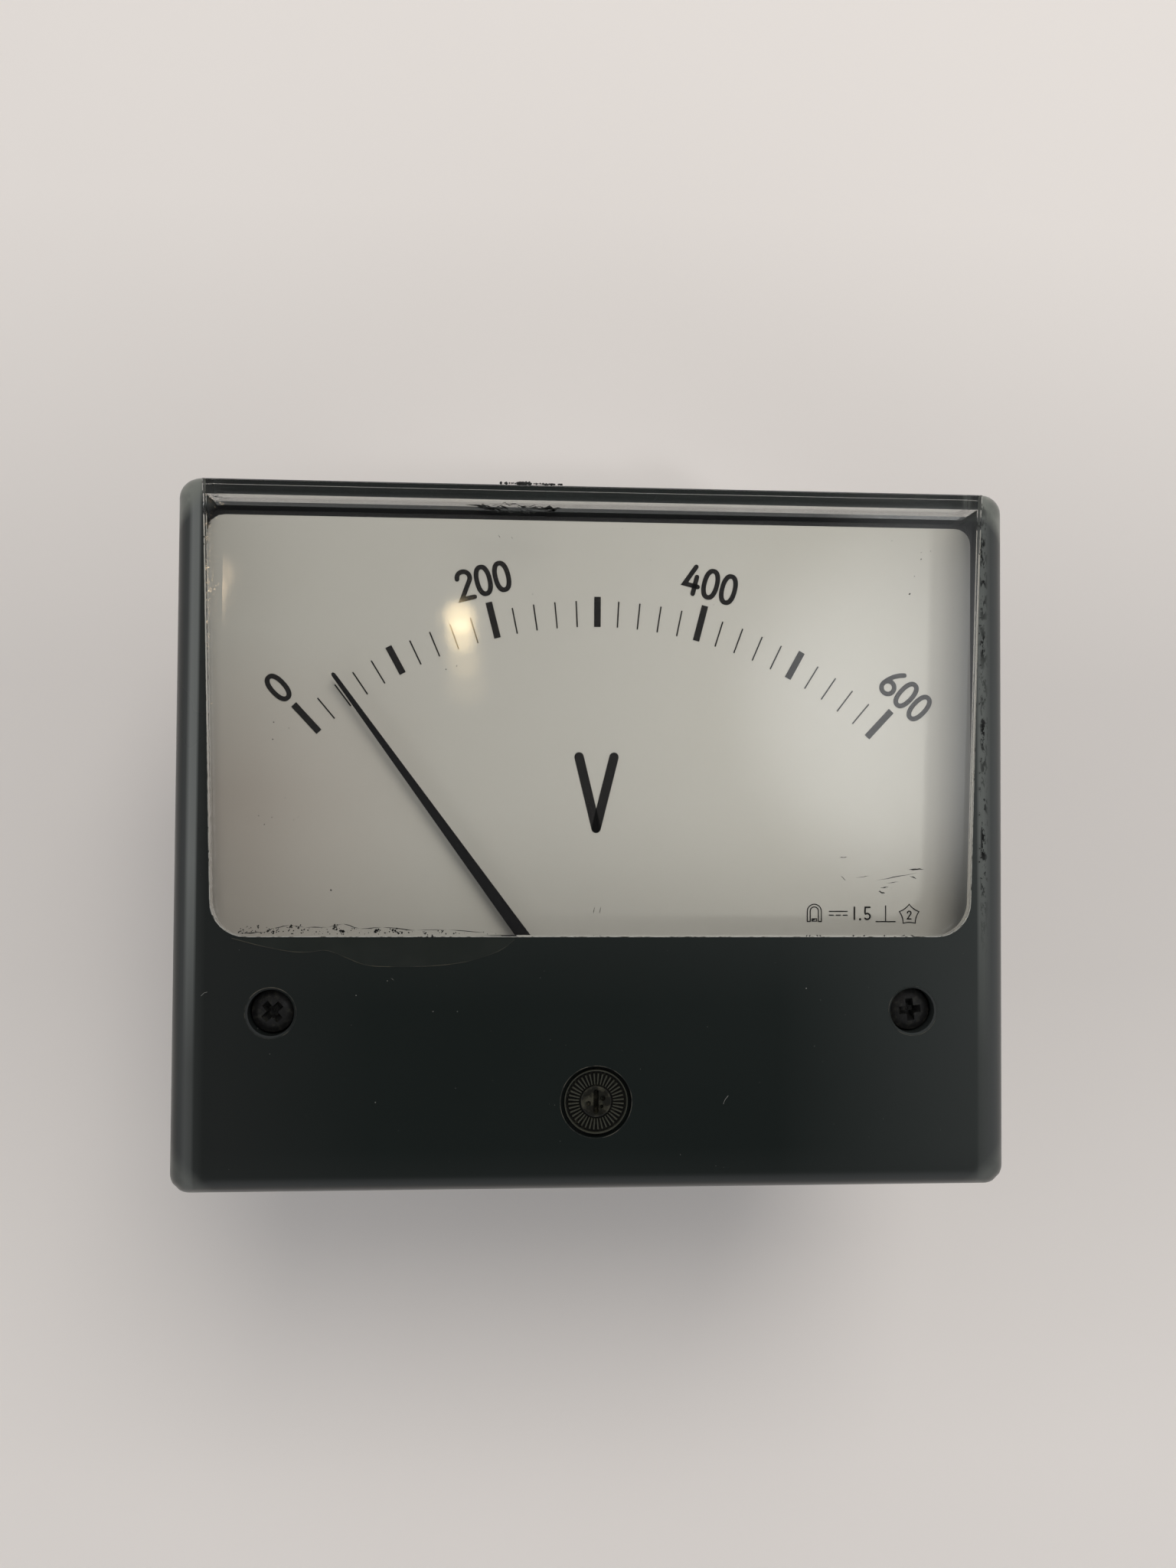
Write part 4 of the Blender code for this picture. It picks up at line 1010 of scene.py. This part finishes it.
def smooth_line(points, steps):
    """Catmull-Rom line through the points."""
    line = []
    last = len(points) - 1
    for i in range(last):
        a, b, c, d = (Vector(points[min(max(i + k, 0), last)]) for k in (-1, 0, 1, 2))
        for k in range(steps):
            t = k / steps
            spot = b + (c - a) * (t / 2)
            spot += (a * 2 - b * 5 + c * 4 - d) * (t * t / 2) + (b * 3 - a - c * 3 + d) * (t ** 3 / 2)
            line.append((spot.x, spot.y))
    return line + [tuple(points[-1])]


peel_line = smooth_line(PEEL, 5)
film = peel_line + [(PEEL[-1][0], PEEL[0][1])]
marks("peeled_film", [film], Z_CHEEK + 0.005, Z_CHEEK + 0.015, FILM)
marks("peeled_film_edge", [stroke(peel_line, 0.1)], Z_CHEEK + 0.016, Z_CHEEK + 0.03, FILM_EDGE)

# scuff across the window's upper edge, with crumbs of black rubber
SCUFF_FROM = Vector((-18.6, 46.75))
SCUFF_RUN = Vector((13.0, -0.45))
SCUFF_HALF_H = 0.75
scuff = [scratch((-19.2, 46.9), (-13.0, 46.1), 0.45), scratch((-9.5, 46.5), (-5.4, 46.6), 0.7)]
for k in range(90):
    t = SPOTS.uniform(0.06, 0.94)
    x, y = SCUFF_FROM + SCUFF_RUN * t
    y += SPOTS.uniform(-1, 1) * SCUFF_HALF_H * sin(pi * t)
    reach = SPOTS.uniform(0.15, 0.7)
    rise = SPOTS.uniform(-0.25, 0.2)
    scuff.append(scratch((x - reach, y - rise), (x + reach, y + rise), SPOTS.uniform(0.06, 0.22)))
marks("window_scuff", scuff)


def crumb(x, y, z, r):
    """Small faceted lump of uneven radius, at most r."""
    bm = bmesh.new()
    bmesh.ops.create_icosphere(bm, subdivisions=1, radius=1.0)
    for v in bm.verts:
        v.co = Vector((x, y, z)) * MM + v.co * (r * MM * SPOTS.uniform(0.6, 1.0))
    return bm


# from x, to x, count and largest radius
CRUMB_RUNS = ((-14.4, -11.6, 16, 0.26), (-11.8, -9.9, 18, 0.42), (-9.9, -5.4, 30, 0.24))
CRUMB_Y = 50.2
crumbs = []
for x0, x1, count, big in CRUMB_RUNS:
    for k in range(count):
        place = (SPOTS.uniform(x0, x1), CRUMB_Y, SPOTS.uniform(77.2, 77.5))
        crumbs.append(crumb(*place, SPOTS.uniform(0.5, 1.0) * big))
piece(joined("rubber_crumbs", crumbs, DIRT), "case", "black_phenolic")

# pale rings round the edges of the screw holes and of the adjuster's recess
LEAST = 0.003  # above the mask, too little to see
RIMS = ((-SCREW_X, SCREW_Y, 3.5, 0.11), (SCREW_X, SCREW_Y, 3.5, 0.06), (0.0, ADJ_Y, RECESS_R + 0.03, 0.09))
rims = []
for x, y, r, wide in RIMS:
    ring = circle(x, y, r + wide, 64)
    rims.append(pierced(ring, [circle(x, y, r, 64)], Z_CHEEK + LEAST, Z_CHEEK + 0.02))
piece(joined("pale_rims", rims, PALE_RIM), "case", "black_phenolic")

# lint and chips on the mask
LINT_SPOTS = (
    (-33.7, -22.4, 0.09), (-29.4, -20.4, 0.07), (-19.6, -24.7, 0.06), (-30.9, -37.3, 0.08),
    (30.0, -21.6, 0.10), (31.2, -29.8, 0.05), (-23.0, -24.7, 0.06), (-45.5, -30.5, 0.05),
    (12.0, -45.0, 0.05), (-8.0, -20.0, 0.04),
)
lint = [blot(*spot) for spot in LINT_SPOTS] + sprinkled(40, DUSTY_X, (-47, -16), (0.02, 0.04))
lint.append(scratch((-28.9, -20.0), (-28.5, -20.3), 0.06))
lint.append(stroke([(18.1, -37.9), (18.35, -37.3), (18.8, -36.75)], 0.05))
lint.append(stroke([(-55.0, -22.4), (-54.6, -22.0), (-54.2, -21.9)], 0.06))
marks("mask_lint", lint, Z_CHEEK + LEAST, Z_CHEEK + 0.03, LINT, "dial_white")

# ---- threaded hardware at the rear
def thread(z0, z1, r, depth, pitch):
    """Profile of a threaded length, from z0 up to z1."""
    profile = []
    z = z0
    while z < z1 - pitch:
        profile += [(r - depth, z), (r, z + pitch * 0.4), (r, z + pitch * 0.6)]
        z += pitch
    return profile + [(r - depth, z)]


def hex_nut(name, x, y, z0, z1, flats, bore, bevel, mat, collar=None):
    """Hexagon nut with bevelled corners; collar is (radius, top) of a flange on its upper side."""
    corner = flats / 2 / cos(pi / 6)
    nut = as_object(name, prism(circle(x, y, corner, 6), z0, z1), mat)
    top = z1 if collar else z1 - bevel
    cone = [(0.0, z0), (corner - bevel * 1.7, z0), (corner + 0.02, z0 + bevel), (corner + 0.02, top)]
    cone += [(corner - bevel * 1.7 * (z1 - top) / bevel, z1), (0.0, z1)]
    boolean(nut, lathe(cone, 48, x, y), "INTERSECT")
    if collar:
        reach, rim = collar
        flange = [(0.0, z1 - 0.9), (reach - 1.0, z1 - 0.9), (reach, rim - 0.55), (reach, rim), (0.0, rim)]
        fuse(nut, lathe(flange, 48, x, y))
    hole = [(0.0, z0 - 0.1), (bore + 0.35, z0 - 0.1), (bore, z0 + 0.3), (bore, z1 + 1.0), (0.0, z1 + 1.0)]
    cut(nut, lathe(hole, 32, x, y))
    weighted(nut)
    return nut


STEEL = metal("zinc_steel", (0.56, 0.56, 0.58), 0.3)
BRASS = metal("yellow_brass", (0.70, 0.50, 0.21), 0.3, stain=(0.25, 0.16, 0.07))
STUD_X = 50.0  # four studs with round heads in the flange
STUD_Y = 40.0
STUD_R = 2.0
STUD_END = 32.0
STUD_THREAD_TOP = 53.5
STUD_HEAD = ((3.5, 55.5), (3.5, 57.4))
STUD_NUT = (45.0, 48.6)  # foot and top of the hexagon
STUD_FLANGE = (4.9, 49.2)
PLAY = 0.12  # between a nut's bore and its stud
for sx, side in ((-1, "left"), (1, "right")):
    for sy, end in ((-1, "lower"), (1, "upper")):
        x = sx * STUD_X
        y = sy * STUD_Y
        where = end + "_" + side
        profile = [(0.0, STUD_END), (1.45, STUD_END)]
        profile += thread(STUD_END + 0.5, STUD_THREAD_TOP, STUD_R, 0.36, 0.7)
        profile += [(1.85, 53.6), (1.85, 55.5), *STUD_HEAD, (0.0, STUD_HEAD[1][1])]
        stud = as_object("stud_" + where, lathe(profile, 28, x, y), STEEL)
        piece(stud, "case", "bright_steel", "mount_stud_" + where)
        nut = hex_nut("flange_nut_" + where, x, y, *STUD_NUT, 7.0, STUD_R + PLAY, 0.4, STEEL, STUD_FLANGE)
        piece(nut, "case", "bright_steel", "mount_nut_" + where)

TERMINAL_X = 19.0  # two terminal studs
TERMINAL_Y = -4.0
TERMINAL_R = 3.0
TERMINAL_THREAD = (1.7, 14.6)
TERMINAL_HEAD = (15.1, 18.0)
TERMINAL_NUT = (5.4, 10.2)
WASHER = [(3.3, 10.5), (6.25, 10.5), (6.4, 10.65), (6.4, 11.55), (6.25, 11.7), (3.3, 11.7)]
for sx, side in ((-1, "minus"), (1, "plus")):
    x = sx * TERMINAL_X
    y = TERMINAL_Y
    profile = [(0.0, 1.0), (2.3, 1.0)] + thread(*TERMINAL_THREAD, TERMINAL_R, 0.5, 1.0)
    profile += [(2.7, 14.7), (2.7, 15.3), (0.0, 15.3)]
    stud = as_object("binding_stud_" + side, lathe(profile, 32, x, y), BRASS)
    fuse(stud, prism(circle(x, y, 5.6, 6), *TERMINAL_HEAD))
    piece(stud, "case", "brass", "terminal_stud_" + side)
    nut = hex_nut("binding_nut_" + side, x, y, *TERMINAL_NUT, 10.0, TERMINAL_R + PLAY, 0.6, BRASS)
    piece(nut, "case", "brass", "terminal_nut_" + side)
    washer = as_object("binding_washer_" + side, lathe(WASHER, 56, x, y), BRASS)
    piece(washer, "case", "brass", "terminal_washer_" + side)

# ---- materials of the pieces that are carried over from the frame
POINTER = mottled(
    "pointer_paint", (0.0065, 0.0062, 0.0070), 0.45, (0.06, 0.06, 0.058), (3000.0, 5.0), (0.6, 0.75, 0.5),
    (1200.0, 3.0, 0.38, 0.6), (2500.0, 3.0, 0.2, 0.00003),
)
POINTER.set("Specular IOR Level", 0.15)
LOOKS = {
    "black_phenolic": plain_plastic("case_phenolic", (0.020, 0.020, 0.021), 0.42),
    "dial_white": dial_paint(),
    "bright_steel": STEEL,
    "brass": BRASS,
    "soft_iron": metal("soft_iron", (0.34, 0.33, 0.32), 0.45),
    "magnet": metal("cast_magnet", (0.20, 0.20, 0.21), 0.5),
    "aluminium": metal("aluminium", (0.76, 0.76, 0.77), 0.34, stain=(0.5, 0.5, 0.5)),
    "copper_wire": metal("enamelled_copper", (0.60, 0.26, 0.11), 0.35, (1.0, 1.0, 0.05), (0.3, 0.1, 0.04)),
    "bronze_strip": metal("phosphor_bronze", (0.64, 0.42, 0.21), 0.3),
    "pointer_black": POINTER,
    "jewel": plain_plastic("jewel", (0.5, 0.04, 0.1), 0.1, 400.0),
    "olive_plastic": OLIVE,
    "black_screw": BLACK_OXIDE,
    "circuit_board": plain_plastic("board_laminate", (0.16, 0.10, 0.045), 0.55),
    "resistor_body": plain_plastic("resistor_lacquer", (0.22, 0.38, 0.46), 0.45),
    "wire_red": plain_plastic("wire_red", (0.45, 0.03, 0.02), 0.45),
    "wire_black": plain_plastic("wire_black", (0.02, 0.02, 0.02), 0.45),
    "gasket_rubber": plain_plastic("rubber", (0.03, 0.03, 0.03), 0.8),
    "clear_acrylic": COVER_CLEAR,
}
slot_of = {row["node"]: row["material_slot"] for row in frame["record"]["subparts"]}
for name, node in NODES.items():
    look = LOOKS[slot_of[name]].mat
    if node.data.materials:
        for k in range(len(node.data.materials)):
            node.data.materials[k] = look
    else:
        node.data.materials.append(look)

# ---- floor, lights
FLOOR = Mat("pale_floor", (0.93, 0.885, 0.85), 0.5)
FLOOR.tint(FLOOR.ramp(FLOOR.noise(3.0, 4.0), 0.35, 0.75, 0.0, 0.4), (0.91, 0.86, 0.825))
# painted shadow: the floor darker in the band across the meter's middle, where the meter shades it
FLOOR.tint(FLOOR.ramp(FLOOR.axis("Y", True), 130.0, 30.0, 0.0, 0.9), (0.755, 0.720, 0.692))
FLOOR.roughness(FLOOR.noise(20.0, 4.0), 0.4, 0.6)
floor_mesh = bmesh.new()
bmesh.ops.create_grid(floor_mesh, x_segments=1, y_segments=1, size=2.0)
floor = as_object("floor", floor_mesh, FLOOR)


def lamp(data, at, target):
    """Put a lamp in the scene, facing target."""
    light = bpy.data.objects.new(data.name, data)
    light.location = at
    light.rotation_euler = (Vector(target) - Vector(at)).to_track_quat("-Z", "Y").to_euler()
    light.visible_glossy = False
    bpy.context.scene.collection.objects.link(light)
    return light


class Room:
    """World light by direction: a dim ceiling, bright walls and soft panels."""

    def __init__(self):
        world = bpy.data.worlds.new("soft_room")
        bpy.context.scene.world = world
        world.use_nodes = True
        self.tree = world.node_tree
        self.base = self.tree.nodes["Background"]
        self.out = self.tree.nodes["World Output"]
        self.way = self.tree.nodes.new("ShaderNodeTexCoord").outputs["Generated"]

    def smooth(self, value, low, high, out_low, out_high):
        node = self.tree.nodes.new("ShaderNodeMapRange")
        node.interpolation_type = "SMOOTHSTEP"
        ends = {"From Min": low, "From Max": high, "To Min": out_low, "To Max": out_high}
        for socket, number in ends.items():
            node.inputs[socket].default_value = number
        self.tree.links.new(value, node.inputs["Value"])
        return node.outputs["Result"]

    def towards(self, direction):
        """Cosine of the angle to a direction."""
        node = self.tree.nodes.new("ShaderNodeVectorMath")
        node.operation = "DOT_PRODUCT"
        node.inputs[1].default_value = Vector(direction).normalized()
        self.tree.links.new(self.way, node.inputs[0])
        return node.outputs["Value"]

    def fading(self, direction, wide, narrow, outside, inside):
        """Strength that goes from outside to inside between wide and narrow degrees off a direction."""
        return self.smooth(self.towards(direction), cos(radians(wide)), cos(radians(narrow)), outside, inside)

    def ceiling(self, color, walls, overhead, wide, narrow):
        self.base.inputs["Color"].default_value = (*color, 1.0)
        level = self.fading((0, 0, 1), wide, narrow, walls, overhead)
        self.tree.links.new(level, self.base.inputs["Strength"])

    def panel(self, direction, wide, narrow, strength, color):
        """A round soft light that fades from narrow to wide degrees off its middle."""
        glow = self.tree.nodes.new("ShaderNodeBackground")
        glow.inputs["Color"].default_value = (*color, 1.0)
        level = self.fading(direction, wide, narrow, 0.0, strength)
        self.tree.links.new(level, glow.inputs["Strength"])
        both = self.tree.nodes.new("ShaderNodeAddShader")
        source = self.out.inputs["Surface"].links[0].from_socket
        self.tree.links.new(source, both.inputs[0])
        self.tree.links.new(glow.outputs["Background"], both.inputs[1])
        self.tree.links.new(both.outputs["Shader"], self.out.inputs["Surface"])


COOL = (0.97, 0.98, 1.0)
AMBER = (1.0, 0.78, 0.44)
ORANGE = (1.0, 0.74, 0.46)
# warm lamps mirrored in the window: direction, degrees to their rim, strength
MIRRORED_MIDDLE = (
    ((-0.0500, 0.162, 0.986), 1.0, 8.4), ((-0.0484, 0.146, 0.986), 1.0, 6.0),
    ((-0.0464, 0.126, 0.986), 1.1, 1.9), ((-0.0443, 0.105, 0.986), 1.3, 0.7),
)
MIRRORED_LEFT = (
    ((-0.243, 0.188, 0.953), 1.0, 4.0), ((-0.246, 0.175, 0.953), 0.8, 9.0),
    ((-0.247, 0.163, 0.953), 0.7, 9.0), ((-0.248, 0.151, 0.953), 0.6, 5.0),
)
room = Room()
room.ceiling(COOL, 0.84, 0.085, 60, 26)
room.panel((0.325, 0.09, 0.94), 10, 1.5, 1.5, COOL)
for direction, wide, level in MIRRORED_MIDDLE:
    room.panel(direction, wide, 0.1, level, AMBER)
for direction, wide, level in MIRRORED_LEFT:
    room.panel(direction, wide, 0.2, level, ORANGE)
soft = bpy.data.lights.new("key", "AREA")
soft.energy = 5.8
soft.color = (1.0, 0.957, 0.905)
soft.size = 0.6
key = lamp(soft, (0.20, 0.62, 1.0), (0, 0, 0.05))
key.visible_transmission = False
spot = bpy.data.lights.new("glow", "SPOT")
spot.energy = 2.6
spot.spot_size = radians(12.0)
spot.spot_blend = 1.0
spot.shadow_soft_size = 0.03
lamp(spot, (0.25, -0.10, 0.45), (0.043, 0.016, 0.069))
bpy.context.scene.view_settings.view_transform = "Standard"
